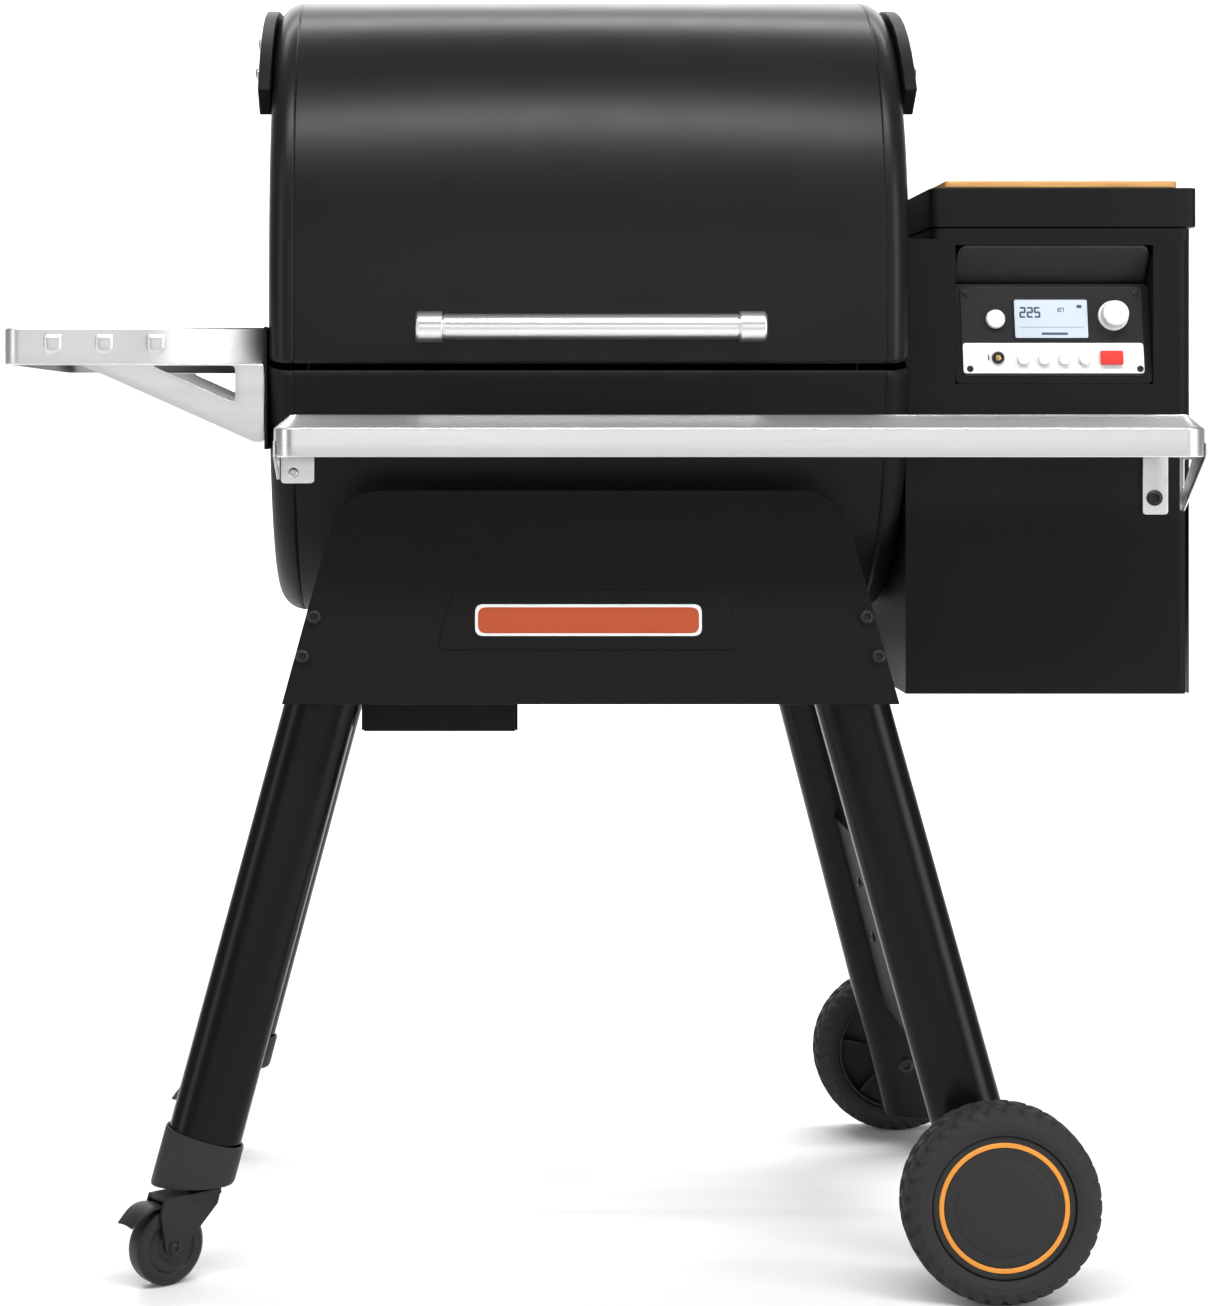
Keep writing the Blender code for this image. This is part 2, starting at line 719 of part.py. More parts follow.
def panel_slab(outline, low, high):
    """A plate parallel to the panel: an outline on the slope between two distances from it."""
    return shape_from_rings([[on_panel(across, up_slope, lift) for across, up_slope in outline] for lift in (low, high)])


def make_hopper():
    right = hopper_left_x + hopper_width
    back = hopper_front_y + hopper_depth
    outline = [(hopper_left_x, hopper_front_y)]
    for i in range(5):
        angle = -pi / 2 + pi / 2 * i / 4
        outline.append((right - hopper_corner * (1 - cos(angle)), hopper_front_y + hopper_corner * (1 + sin(angle))))
    outline += [(right, back), (hopper_left_x, back)]
    hopper = add_object("hopper_box", prism(outline, "Z", hopper_bottom_z, hopper_top_z), materials["black_paint"])
    bin_front = hopper_front_y + hopper_bay_depth
    neck_left = hopper_lid_left_x + neck_inset
    neck_right = right - neck_inset
    neck = cutter("hopper_neck", box((neck_left, hopper_front_y + neck_inset, hopper_top_z - neck_inset),
                                     (neck_right, back - neck_inset, hopper_lid_bottom_z - touch_gap)))
    combine(hopper, neck, "UNION")
    pellet_bin = cutter("pellet_bin", box((neck_left + sheet, bin_front, hopper_floor_z),
                                          (neck_right - sheet, back - neck_inset - sheet, hopper_top_z + 0.05)))
    lower_bay = cutter("lower_bay", box((hopper_left_x + sheet, hopper_front_y + sheet, hopper_bottom_z - 0.05),
                                        (right - sheet, back - sheet, hopper_floor_z - sheet)))
    recess = cutter("panel_recess", box((panel_x - recess_width / 2, hopper_front_y - 0.05, recess_bottom_z),
                                        (panel_x + recess_width / 2, hopper_front_y + recess_depth, recess_top_z)))
    feed = cutter("auger_feed", box((hopper_left_x + 0.030, auger_y - auger_radius, hopper_floor_z - 0.02),
                                    (hopper_left_x + 0.110, auger_y + auger_radius, hopper_floor_z + 0.02)))
    hole_start = (hopper_left_x - 0.02, auger_y, auger_z)
    hole_end = (hopper_left_x + 0.02, auger_y, auger_z)
    tube = cutter("tube_hole", rod(hole_start, hole_end, auger_tube_radius + touch_gap * 2, round_steps))
    for tool in (pellet_bin, lower_bay, recess, feed, tube):
        combine(hopper, tool, "DIFFERENCE")
    inlet_y = back + touch_gap
    inlet_right = right - inlet_inset
    inlet_low = (inlet_right - inlet_size[0], inlet_z)
    inlet_high = (inlet_right, inlet_z + inlet_size[1])
    inlet = prism(rounded_rectangle(inlet_low, inlet_high, 0.003, 2), "Y", inlet_y, inlet_y + inlet_depth)
    add_object("power_inlet", inlet, materials["black_plastic"])
    fan_place = (hopper_left_x + fan_at[0], fan_at[1], hopper_bottom_z + fan_lift)
    fan = turned_solid([(fan_radius, 0.0), (fan_radius, fan_height)], fan_place, (0, 0, 1))
    add_object("combustion_fan", fan, materials["black_plastic"], smooth=True)


def make_hopper_lid():
    back = hopper_front_y + hopper_depth - hopper_lid_setback
    wall = hopper_lid_wall
    top = hopper_lid_bottom_z + hopper_lid_height
    outline = rounded_rectangle((hopper_lid_left_x, hopper_front_y - 0.0005), (hopper_lid_right_x, back), 0.010, 3)
    hinge = ((hopper_lid_left_x + hopper_lid_right_x) / 2, back, hopper_lid_bottom_z)
    lid = add_object("hopper_lid", prism(outline, "Z", hopper_lid_bottom_z, top), materials["black_paint"], hinge)
    hollow_low = (hopper_lid_left_x + wall, hopper_front_y + wall, hopper_lid_bottom_z - 0.02)
    hollow_high = (hopper_lid_right_x - wall, back - wall, top - hopper_lid_roof)
    hollow = cutter("hopper_lid_hollow", box(hollow_low, hollow_high))
    combine(lid, hollow, "DIFFERENCE")
    board_top = rounded_rectangle((board_left_x, hopper_front_y + board_inset),
                                  (board_left_x + board_width, back - board_inset * 2), 0.006, 3)
    board_low = top + touch_gap
    add_object("cutting_board", prism(board_top, "Z", board_low, board_low + board_thickness), materials["wood"],
               (board_left_x + board_width / 2, 0.0, board_low))


def make_panel():
    normal = panel_normal()
    half = panel_width / 2
    outline = rounded_rectangle((-half, 0.0), (half, panel_height), 0.005, 3)
    add_object("control_panel", panel_slab(outline, -panel_thickness, 0.0), materials["black_plastic"])
    low = touch_gap
    dx, dv = display_at
    dw, dh = display_size
    outline = rounded_rectangle((dx - dw / 2, dv - dh / 2), (dx + dw / 2, dv + dh / 2), 0.002, 2)
    add_object("display_screen", panel_slab(outline, low, low + display_thickness), materials["screen"])
    knob_base = on_panel(*knob_at, low)
    profile = [(knob_radius * 1.12, 0.0), (knob_radius * 1.12, 0.003), (knob_radius, 0.004),
               (knob_radius * 0.97, knob_height - 0.001), (knob_radius * 0.9, knob_height)]
    knob = turned_solid(profile, knob_base, normal)
    add_object("selector_knob", knob, materials["satin_metal"], knob_base, smooth=True)
    jack = turned([(jack_radius, low), (jack_radius, low + 0.003), (0.0016, low + 0.003), (0.0016, low)],
                  on_panel(*jack_at), normal, small_steps)
    add_object("probe_jack", jack, materials["black_plastic"], smooth=True)


def make_buttons():
    """Each button floats above the panel by its travel, so that it can be pressed."""
    normal = panel_normal()
    lift = button_travel + touch_gap
    spots = [("power_button", power_at, power_radius)]
    for i in range(menu_count):
        spots.append((f"menu_button_{i + 1}", (menu_at[0] + i * menu_pitch, menu_at[1]), menu_radius))
    for name, at, radius in spots:
        base = on_panel(*at, lift)
        profile = [(radius, 0.0), (radius, button_height * 0.7), (radius * 0.8, button_height)]
        shape = turned_solid(profile, base, normal, small_steps)
        add_object(name, shape, materials["satin_metal"], base, smooth=True)
    across, up_slope = ignite_at
    wide, high = ignite_size
    outline = rounded_rectangle((across - wide / 2, up_slope - high / 2), (across + wide / 2, up_slope + high / 2), 0.001, 2)
    shape = panel_slab(outline, lift, lift + button_height)
    add_object("ignite_button", shape, materials["red_plastic"], on_panel(across, up_slope, lift))


def leg_centre(side, end, z):
    """The leg's middle at a height. Side is -1 left, 1 right; end is -1 front, 1 rear."""
    drop = leg_reference_z - z
    out_x = leg_spread_x + leg_slope_x * drop
    out_y = leg_spread_y + leg_slope_y * drop
    return barrel_x + side * out_x, leg_centre_y + end * out_y


def leg_ring(side, end, z, grow=0.0, lean=0.0):
    """The leg's oval at a height, wider by grow. Lean tilts it across the leg."""
    middle_x, middle_y = leg_centre(side, end, z)
    half_x = leg_width / 2 * hypot(1.0, leg_slope_x) + grow
    half_y = leg_thickness / 2 + grow
    ring = []
    for across, along in circle(1.0, round_steps):
        x = half_x * abs(across) ** leg_roundness * (1 if across > 0 else -1)
        y = half_y * abs(along) ** leg_roundness * (1 if along > 0 else -1)
        rise = lean * side * x * leg_slope_x
        y -= end * leg_slope_y * rise
        ring.append((middle_x + x - side * leg_slope_x * rise, middle_y + y, z + rise))
    return ring


def corner_word(side, end):
    return ("front" if end < 0 else "rear") + "_" + ("left" if side < 0 else "right")


def make_legs():
    for side in (-1, 1):
        bottom = left_leg_bottom_z if side < 0 else leg_bottom_z
        for end in (-1, 1):
            rings = [leg_ring(side, end, bottom), leg_ring(side, end, leg_top_z),
                     leg_ring(side, end, leg_top_z, -leg_wall), leg_ring(side, end, bottom, -leg_wall)]
            name = f"leg_{corner_word(side, end)}"
            add_object(name, shape_from_rings(rings, wrap=True), materials["gloss_black"], smooth=True)


def make_collars():
    low = left_leg_bottom_z - collar_drop
    high = low + collar_height
    for end, word in ((-1, "front"), (1, "rear")):
        seat = left_leg_bottom_z - touch_gap
        rings = [leg_ring(-1, end, low, collar_wall), leg_ring(-1, end, high, collar_wall, 1.0),
                 leg_ring(-1, end, high, touch_gap * 2, 1.0), leg_ring(-1, end, seat, touch_gap * 2)]
        add_object(f"collar_{word}", shape_from_rings(rings), materials["black_plastic"], smooth=True)


def make_leg_brace():
    """A sheet between the right legs, in the plane of the two legs."""
    shape_rings = []
    for z in (brace_low_z, brace_high_z):
        x, front_y = leg_centre(1, -1, z)
        rear_y = leg_centre(1, 1, z)[1]
        reach = leg_thickness / 2 + touch_gap
        near = x - brace_inset
        shape_rings.append([(near, front_y + reach, z), (near + plate, front_y + reach, z),
                            (near + plate, rear_y - reach, z), (near, rear_y - reach, z)])
    add_object("leg_brace", shape_from_rings(shape_rings), materials["black_paint"])


def apron_outline():
    """Half the apron from its top middle down its sloping side, as (x, z) about the barrel's middle."""
    outline = []
    steps = 8
    wide = apron_top_half_width
    for i in range(steps + 1):
        share = i / steps
        keep = 1 - share
        start, bend, end = keep * keep, 2 * keep * share, share * share
        x = start * (wide - apron_corner) + bend * (wide - 0.010) + end * wide
        z = start * apron_top_z + bend * (apron_top_z - 0.002) + end * (apron_top_z - apron_corner_drop)
        outline.append((x, z))
    outline.append((apron_bottom_half_width, apron_bottom_z))
    return outline


def make_aprons():
    half = apron_outline()
    outline = [(barrel_x + x, z) for x, z in half] + [(barrel_x - x, z) for x, z in reversed(half)]
    for end, word in ((-1, "front"), (1, "rear")):
        rings = []
        for out in (0.0, plate):
            face_y = apron_top_y - out
            rings.append([(x, -end * (face_y - apron_tilt * (apron_top_z - z)), z) for x, z in outline])
        add_object(f"apron_{word}", shape_from_rings(rings), materials["black_paint"])


def make_wheels():
    for end, word in ((-1, "front"), (1, "rear")):
        x, leg_y = leg_centre(1, end, wheel_radius)
        y = leg_centre_y + end * wheel_track / 2
        axis = Vector((0, end, 0))
        half = wheel_width / 2
        inner = hub_radius + touch_gap
        shoulder = half * 0.84
        tyre = [(inner, shoulder), (wheel_radius * 0.86, half), (wheel_radius * 0.955, shoulder),
                (wheel_radius, half * 0.5), (wheel_radius, -half * 0.5), (wheel_radius * 0.955, -shoulder),
                (wheel_radius * 0.86, -half), (inner, -shoulder)]
        centre = (x, y, wheel_radius)
        add_object(f"tyre_{word}", turned(tyre, centre, axis, 36), materials["tyre"], centre, smooth=True)
        boss_end = (abs(leg_y - leg_centre_y) + leg_thickness / 2 + running_gap) - wheel_track / 2
        rim = hub_radius - wheel_rim
        boss = axle_radius * 2.2
        dish = wheel_inner_dish - half * 0.7
        hub = [(boss, boss_end), (boss, dish), (rim, dish), (rim, -half * 0.8), (hub_radius, -half * 0.8),
               (hub_radius, half * 0.8), (hub_radius * 0.85, half * 0.9)]
        shape = turned_solid(hub, centre, axis, 36)
        add_object(f"wheel_hub_{word}", shape, materials["hub"], centre, smooth=True)


def caster_place(end):
    """The swivel's point on the floor plan, the trail direction and the wheel axle's direction."""
    x, y = leg_centre(-1, end, (left_leg_bottom_z + 0.102) / 2)
    trail = Vector((-cos(caster_yaw), -sin(caster_yaw), 0.0))
    axle = Vector((sin(caster_yaw), -cos(caster_yaw), 0.0))
    return Vector((x, y, 0.0)), trail, axle


def fork_slice(end, low, high, outline):
    """A slab of the fork: an outline of (trail distance, height) between two distances along the axle."""
    post, trail, axle = caster_place(end)
    return shape_from_rings([[post + trail * t + axle * across + Vector((0, 0, z)) for t, z in outline]
                             for across in (low, high)])


def make_casters():
    collar_low = left_leg_bottom_z - collar_drop
    for end, word in ((-1, "front"), (1, "rear")):
        post, trail, axle = caster_place(end)
        hub = post + trail * caster_trail + Vector((0, 0, caster_radius))
        gap = caster_width / 2 + running_gap
        cheek = [(-fork_back, fork_top_z), (-0.012, fork_top_z - 0.014), (caster_trail - 0.009, caster_radius - 0.004),
                 (caster_trail, caster_radius - 0.009), (caster_trail + 0.009, caster_radius - 0.002),
                 (caster_trail + 0.015, fork_top_z - 0.014), (caster_trail + 0.010, fork_top_z)]
        side = gap + caster_plate
        fork = add_object(f"caster_fork_{word}", fork_slice(end, gap, side, cheek), materials["caster_black"],
                          (post.x, post.y, fork_top_z))
        roof_low = fork_top_z - fork_roof
        roof = [(-fork_back, roof_low), (caster_trail + 0.010, roof_low),
                (caster_trail + 0.010, fork_top_z), (-fork_back, fork_top_z)]
        pin = axle * (side + 0.002)
        stem_low = post + Vector((0, 0, fork_top_z - 0.002))
        stem_high = post + Vector((0, 0, collar_low - touch_gap))
        parts = [fork_slice(end, -side, -gap, cheek), fork_slice(end, -side, side, roof),
                 rod(hub - pin, hub + pin, caster_axle_radius), rod(stem_low, stem_high, stem_radius)]
        for i, shape in enumerate(parts):
            combine(fork, cutter(f"fork_part_{word}_{i}", shape), "UNION")
        half = caster_width / 2
        bore = caster_axle_radius + touch_gap
        wheel = [(bore, -half), (bore, half), (caster_radius * 0.93, half), (caster_radius, half * 0.6),
                 (caster_radius, -half * 0.6), (caster_radius * 0.93, -half)]
        add_object(f"caster_wheel_{word}", turned(wheel, hub, axle), materials["caster_black"], hub, smooth=True)


def make_grease_pan():
    low = pan_top_z - pan_height
    right = pan_left_x + pan_width
    back = pan_front_y + pan_length
    shape = box((pan_left_x, pan_front_y, low), (right, back, pan_top_z))
    pan = add_object("grease_pan", shape, materials["black_paint"], ((pan_left_x + right) / 2, pan_front_y, low))
    hollow = cutter("pan_hollow", box((pan_left_x + sheet, pan_front_y + sheet, low + sheet),
                                      (right - sheet, back - sheet, pan_top_z + 0.01)))
    combine(pan, hollow, "DIFFERENCE")
    rail_top = barrel_z - barrel_half_height - touch_gap
    for side, x, word in ((-1, pan_left_x, "left"), (1, right, "right")):
        near = x + side * running_gap
        far = near + side * sheet
        ledge = x - side * 0.008
        outline = [(far, low - sheet - touch_gap), (far, rail_top), (near, rail_top), (near, low - touch_gap),
                   (ledge, low - touch_gap), (ledge, low - sheet - touch_gap)]
        rail = prism(outline, "Y", pan_front_y + rail_setback, back)
        add_object(f"pan_rail_{word}", rail, materials["black_paint"])


clear_scene()
materials = {
    "black_paint": make_material("black_paint", (0.020, 0.020, 0.021), 0.42, 0.0),
    "gloss_black": make_material("gloss_black", (0.012, 0.012, 0.013), 0.25, 0.0),
    "black_plastic": make_material("black_plastic", (0.022, 0.022, 0.023), 0.5, 0.0),
    "caster_black": make_material("caster_black", (0.018, 0.018, 0.019), 0.45, 0.0),
    "stainless": make_material("stainless", (0.72, 0.72, 0.72), 0.30, 1.0),
    "brushed": make_material("brushed", (0.66, 0.66, 0.67), 0.38, 1.0),
    "chrome": make_material("chrome", (0.80, 0.80, 0.81), 0.12, 1.0),
    "satin_metal": make_material("satin_metal", (0.75, 0.75, 0.76), 0.3, 1.0),
    "dark_steel": make_material("dark_steel", (0.18, 0.18, 0.18), 0.5, 1.0),
    "wire": make_material("wire", (0.10, 0.10, 0.10), 0.45, 0.6),
    "wood": make_material("wood", (0.72, 0.42, 0.18), 0.5, 0.0),
    "screen": make_material("screen", (0.80, 0.85, 0.88), 0.2, 0.0),
    "red_plastic": make_material("red_plastic", (0.70, 0.05, 0.04), 0.4, 0.0),
    "tyre": make_material("tyre", (0.030, 0.030, 0.031), 0.7, 0.0),
    "hub": make_material("hub", (0.028, 0.028, 0.029), 0.5, 0.0),
    "cutter": make_material("cutter", (1.0, 0.2, 0.8), 0.5, 0.0),
}
make_barrel()
make_end_caps()
make_hinge_arms()
make_handle()
make_grates()
make_racks()
make_fire_parts()
make_auger()
make_front_shelf()
make_shelf_brackets()
make_side_shelf()
make_hopper()
make_hopper_lid()
make_panel()
make_buttons()
make_legs()
make_collars()
make_leg_brace()
make_aprons()
make_wheels()
make_casters()
make_grease_pan()
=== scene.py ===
import json
import math

import bmesh
import bpy
import numpy as np
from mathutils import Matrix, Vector


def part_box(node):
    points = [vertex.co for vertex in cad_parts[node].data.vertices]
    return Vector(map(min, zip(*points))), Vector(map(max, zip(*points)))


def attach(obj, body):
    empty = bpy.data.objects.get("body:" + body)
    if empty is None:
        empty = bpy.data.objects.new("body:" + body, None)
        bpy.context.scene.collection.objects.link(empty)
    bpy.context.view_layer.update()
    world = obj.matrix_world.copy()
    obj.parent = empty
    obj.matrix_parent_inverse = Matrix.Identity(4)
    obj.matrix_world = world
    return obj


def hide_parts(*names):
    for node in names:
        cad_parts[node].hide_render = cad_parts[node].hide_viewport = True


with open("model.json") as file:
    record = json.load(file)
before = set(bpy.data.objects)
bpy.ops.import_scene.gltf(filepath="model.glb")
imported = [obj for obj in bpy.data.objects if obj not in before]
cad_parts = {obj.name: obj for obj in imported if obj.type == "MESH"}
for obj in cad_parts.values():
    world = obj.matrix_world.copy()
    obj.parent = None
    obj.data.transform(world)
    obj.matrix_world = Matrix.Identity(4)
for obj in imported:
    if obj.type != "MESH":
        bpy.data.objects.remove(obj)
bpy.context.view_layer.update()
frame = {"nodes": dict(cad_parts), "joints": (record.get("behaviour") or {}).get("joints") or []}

bothSides = ((-1, "left"), (1, "right"))
bothEnds = ((-1, "front"), (1, "rear"))
print("frame loaded,", len(frame["nodes"]), "nodes")


# Meshes from arrays, and what turns them into pieces.

def boxCorners(node):
    # The low and the high corner of a solid's box.
    return [np.array(corner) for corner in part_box(node)]


def keepPiece(name, mesh, material, body, nodes=(), sharpAngle=35):
    # Links a finished mesh, gives it its material and hands it to the body that it moves with.
    mesh.materials.append(material)
    mesh.shade_smooth()
    mesh.set_sharp_from_angle(angle=math.radians(sharpAngle))
    piece = bpy.data.objects.new(name, mesh)
    bpy.context.scene.collection.objects.link(piece)
    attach(piece, body)
    if nodes:
        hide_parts(*nodes)
    return piece


def gridMesh(name, points, closeU=False, closeV=False, capStart=False, capEnd=False):
    # points[u, v] is a surface sampled on a grid: each cell becomes one quad.
    # A closed direction joins its last row to its first, and a cap fills the first or last row of u.
    rows, columns = points.shape[:2]
    u = np.arange(rows if closeU else rows - 1)
    v = np.arange(columns if closeV else columns - 1)
    uu, vv = np.meshgrid(u, v, indexing="ij")
    row, nextRow, nextV = uu * columns, (uu + 1) % rows * columns, (vv + 1) % columns
    quads = np.stack([row + vv, nextRow + vv, nextRow + nextV, row + nextV], -1)
    faces = quads.reshape(-1, 4).tolist()
    if capStart:
        faces.append(list(range(columns)))
    if capEnd:
        faces.append(list(range(rows * columns - 1, (rows - 1) * columns - 1, -1)))
    mesh = bpy.data.meshes.new(name)
    mesh.from_pydata(points.reshape(-1, 3).tolist(), [], faces)
    mesh.update()
    return mesh


def faceOut(mesh):
    # Merges doubled points, then turns every face outwards.
    shape = bmesh.new()
    shape.from_mesh(mesh)
    bmesh.ops.remove_doubles(shape, verts=shape.verts, dist=1e-6)
    bmesh.ops.recalc_face_normals(shape, faces=shape.faces)
    shape.to_mesh(mesh)
    shape.free()
    return mesh


def tubeMesh(name, points):
    # Rings of points, one behind the other, closed round and capped at both ends.
    return faceOut(gridMesh(name, points, closeV=True, capStart=True, capEnd=True))


def joinMeshes(name, meshes):
    # One mesh from several, with their faces as they are.
    shape = bmesh.new()
    for mesh in meshes:
        shape.from_mesh(mesh)
        bpy.data.meshes.remove(mesh)
    whole = bpy.data.meshes.new(name)
    shape.to_mesh(whole)
    shape.free()
    return whole


def basis(axis):
    # Three unit vectors with the last one along the axis.
    along = np.asarray(axis, float) / np.linalg.norm(axis)
    helper = np.array([0.0, 0.0, 1.0]) if abs(along[2]) < 0.9 else np.array([1.0, 0.0, 0.0])
    side = np.cross(helper, along)
    side /= np.linalg.norm(side)
    return side, np.cross(along, side), along


def turnedMesh(name, profile, centre, axis, steps=64, closed=False):
    # Each (radius, height) of the profile is carried round the axis: centre + r(cos t, sin t) + h along it.
    side, up, along = basis(axis)
    r, h = np.asarray(profile, float).T
    t = np.linspace(0, 2 * np.pi, steps, endpoint=False)
    circle = np.cos(t)[None, :, None] * side + np.sin(t)[None, :, None] * up
    points = np.asarray(centre, float) + r[:, None, None] * circle + h[:, None, None] * along
    return faceOut(gridMesh(name, points, closeU=closed, closeV=True, capStart=not closed, capEnd=not closed))


def cornerCurve(before, corner, after, radius, steps):
    # A corner as a short quadratic curve: (1 - t)^2 start + 2t(1 - t) corner + t^2 stop.
    t = np.linspace(0, 1, steps + 1)[:, None]
    inLength, outLength = np.linalg.norm(before - corner), np.linalg.norm(after - corner)
    start = corner + (before - corner) / inLength * min(radius, inLength * 0.45)
    stop = corner + (after - corner) / outLength * min(radius, outLength * 0.45)
    return (1 - t) ** 2 * start + 2 * t * (1 - t) * corner + t ** 2 * stop


def softProfile(profile, radius, steps=4):
    # Rounds the inner corners of an open profile.
    profile = np.asarray(profile, float)
    turns = [cornerCurve(*three, radius, steps) for three in zip(profile, profile[1:], profile[2:])]
    return np.concatenate([profile[:1], *turns, profile[-1:]])


def roundCorners(outline, radius, steps=5):
    # Rounds every corner of a closed outline.
    outline = np.asarray(outline, float)
    threes = zip(np.roll(outline, 1, 0), outline, np.roll(outline, -1, 0))
    return np.concatenate([cornerCurve(*three, radius, steps) for three in threes])


def roundEdges(piece, width, segments, angle=30.0, harden=False):
    # Rounds the edges that are sharper than the angle.
    rounding = piece.modifiers.new("edges", "BEVEL")
    rounding.width = width
    rounding.segments = segments
    rounding.limit_method = "ANGLE"
    rounding.angle_limit = math.radians(angle)
    rounding.harden_normals = harden
    return piece


def withWall(piece, thickness, offset=-1.0, edge=0.0):
    # Gives an open sheet its thickness: inwards at offset -1, to both sides at 0.
    wall = piece.modifiers.new("wall", "SOLIDIFY")
    wall.thickness = thickness
    wall.offset = offset
    if edge:
        roundEdges(piece, edge, 2)
    return piece


def refinedNode(node, material, body, edge=0.0012, segments=3, sharpAngle=30):
    # A merged copy of a solid, its flat faces whole again, with its edges rounded.
    source = bpy.data.objects[node].data
    shape = bmesh.new()
    shape.from_mesh(source)
    bmesh.ops.remove_doubles(shape, verts=shape.verts, dist=1e-5)
    bmesh.ops.dissolve_limit(shape, angle_limit=math.radians(0.6), verts=shape.verts, edges=shape.edges)
    mesh = bpy.data.meshes.new(node + "_fine")
    shape.to_mesh(mesh)
    shape.free()
    piece = keepPiece(node + "_fine", mesh, material, body, nodes=(node,), sharpAngle=sharpAngle)
    return roundEdges(piece, edge, segments, angle=40, harden=True)


# Materials: noise on object coordinates drives colour, gloss and relief.

def newMaterial(name):
    material = bpy.data.materials.new(name)
    material.use_nodes = True
    shader = material.node_tree.nodes["Principled BSDF"]
    return material, material.node_tree.nodes, material.node_tree.links, shader


def objectNoise(nodes, links, scale, detail=4.0, roughness=0.5, stretch=None):
    # Noise on object coordinates, stretched along an axis where a stretch is given.
    place = nodes.new("ShaderNodeTexCoord")
    noise = nodes.new("ShaderNodeTexNoise")
    noise.inputs["Scale"].default_value = scale
    noise.inputs["Detail"].default_value = detail
    noise.inputs["Roughness"].default_value = roughness
    if stretch:
        mapping = nodes.new("ShaderNodeMapping")
        mapping.inputs["Scale"].default_value = stretch
        links.new(place.outputs["Object"], mapping.inputs["Vector"])
        links.new(mapping.outputs["Vector"], noise.inputs["Vector"])
    else:
        links.new(place.outputs["Object"], noise.inputs["Vector"])
    return noise.outputs["Fac"]


def ramp(nodes, links, value, low, high, start=0.3, end=0.7):
    # Maps a 0 to 1 value to a colour or a grey between low and high.
    blend = nodes.new("ShaderNodeValToRGB")
    for element, place, colour in zip(blend.color_ramp.elements, (start, end), (low, high)):
        element.position = place
        element.color = (*colour, 1)
    links.new(value, blend.inputs["Fac"])
    return blend.outputs["Color"]


def addBump(nodes, links, shader, value, strength, distance):
    bump = nodes.new("ShaderNodeBump")
    bump.inputs["Strength"].default_value = strength
    bump.inputs["Distance"].default_value = distance
    links.new(value, bump.inputs["Height"])
    links.new(bump.outputs["Normal"], shader.inputs["Normal"])


def coatedMetal(name, colour, rough, grain=1600.0, bumpHeight=0.00006, specular=0.4, spread=0.015):
    # Powder coat or moulded plastic: an even colour, a fine orange-peel grain and slow changes of gloss.
    material, nodes, links, shader = newMaterial(name)
    slow = objectNoise(nodes, links, 6.0)
    tone = ramp(nodes, links, slow, [c * 0.95 for c in colour], [c * 1.05 for c in colour])
    links.new(tone, shader.inputs["Base Color"])
    gloss = objectNoise(nodes, links, 22.0)
    greyRough = ramp(nodes, links, gloss, [rough - spread] * 3, [rough + spread] * 3)
    links.new(greyRough, shader.inputs["Roughness"])
    shader.inputs["Specular IOR Level"].default_value = specular
    addBump(nodes, links, shader, objectNoise(nodes, links, grain, 2.0), 0.35, bumpHeight)
    return material


def brushedMetal(name, colour, rough, stretch, scale=60.0, bumpHeight=0.00004):
    # Long fine scratches along one axis, in the colour, the roughness and the relief.
    material, nodes, links, shader = newMaterial(name)
    shader.inputs["Metallic"].default_value = 1.0
    scratches = objectNoise(nodes, links, scale, 8.0, 0.65, stretch)
    links.new(ramp(nodes, links, scratches, [c * 0.90 for c in colour], colour), shader.inputs["Base Color"])
    greyRough = ramp(nodes, links, scratches, [rough + 0.07] * 3, [rough - 0.05] * 3)
    links.new(greyRough, shader.inputs["Roughness"])
    addBump(nodes, links, shader, scratches, 0.4, bumpHeight)
    return material


def woodBoard(name):
    # Grain lines along X: stretched noise, with a finer pore noise added to it.
    material, nodes, links, shader = newMaterial(name)
    rings = objectNoise(nodes, links, 18.0, 6.0, 0.6, (0.5, 6.0, 6.0))
    pores = objectNoise(nodes, links, 260.0, 3.0, 0.6, (0.12, 1.0, 1.0))
    mix = nodes.new("ShaderNodeMath")
    mix.operation = "MULTIPLY_ADD"
    mix.inputs[1].default_value = 0.35
    links.new(pores, mix.inputs[0])
    links.new(rings, mix.inputs[2])
    grain = ramp(nodes, links, mix.outputs[0], (0.46, 0.205, 0.055), (0.70, 0.395, 0.135), 0.45, 0.85)
    links.new(grain, shader.inputs["Base Color"])
    links.new(ramp(nodes, links, pores, [0.42] * 3, [0.58] * 3), shader.inputs["Roughness"])
    addBump(nodes, links, shader, mix.outputs[0], 0.25, 0.0002)
    return material


blackPaint = coatedMetal("blackPowderCoat", (0.0064, 0.0064, 0.0066), 0.46, specular=0.12)
lidPaint = coatedMetal("lidPowderCoat", (0.0078, 0.0078, 0.0080), 0.32, grain=1100.0, specular=0.17)
legPaint = coatedMetal("legGlossCoat", (0.0040, 0.0040, 0.0042), 0.24, 700.0, 0.00002, specular=0.16)
bracePaint = coatedMetal("bracePowderCoat", (0.0060, 0.0060, 0.0062), 0.50, specular=0.03)
blackPlastic = coatedMetal("mouldedBlack", (0.0240, 0.0240, 0.0245), 0.50, grain=2200.0, specular=0.2)
panelBlack = coatedMetal("panelGlossBlack", (0.0200, 0.0200, 0.0210), 0.30, 2600.0, 0.00001, specular=0.2)
casterBlack = coatedMetal("casterBlack", (0.0150, 0.0150, 0.0155), 0.42, grain=1500.0, specular=0.25)
tyreRubber = coatedMetal("tyreRubber", (0.0270, 0.0270, 0.0275), 0.68, 900.0, 0.0001, specular=0.2)
hubPlastic = coatedMetal("hubPlastic", (0.0240, 0.0240, 0.0248), 0.52, grain=1500.0, specular=0.2)
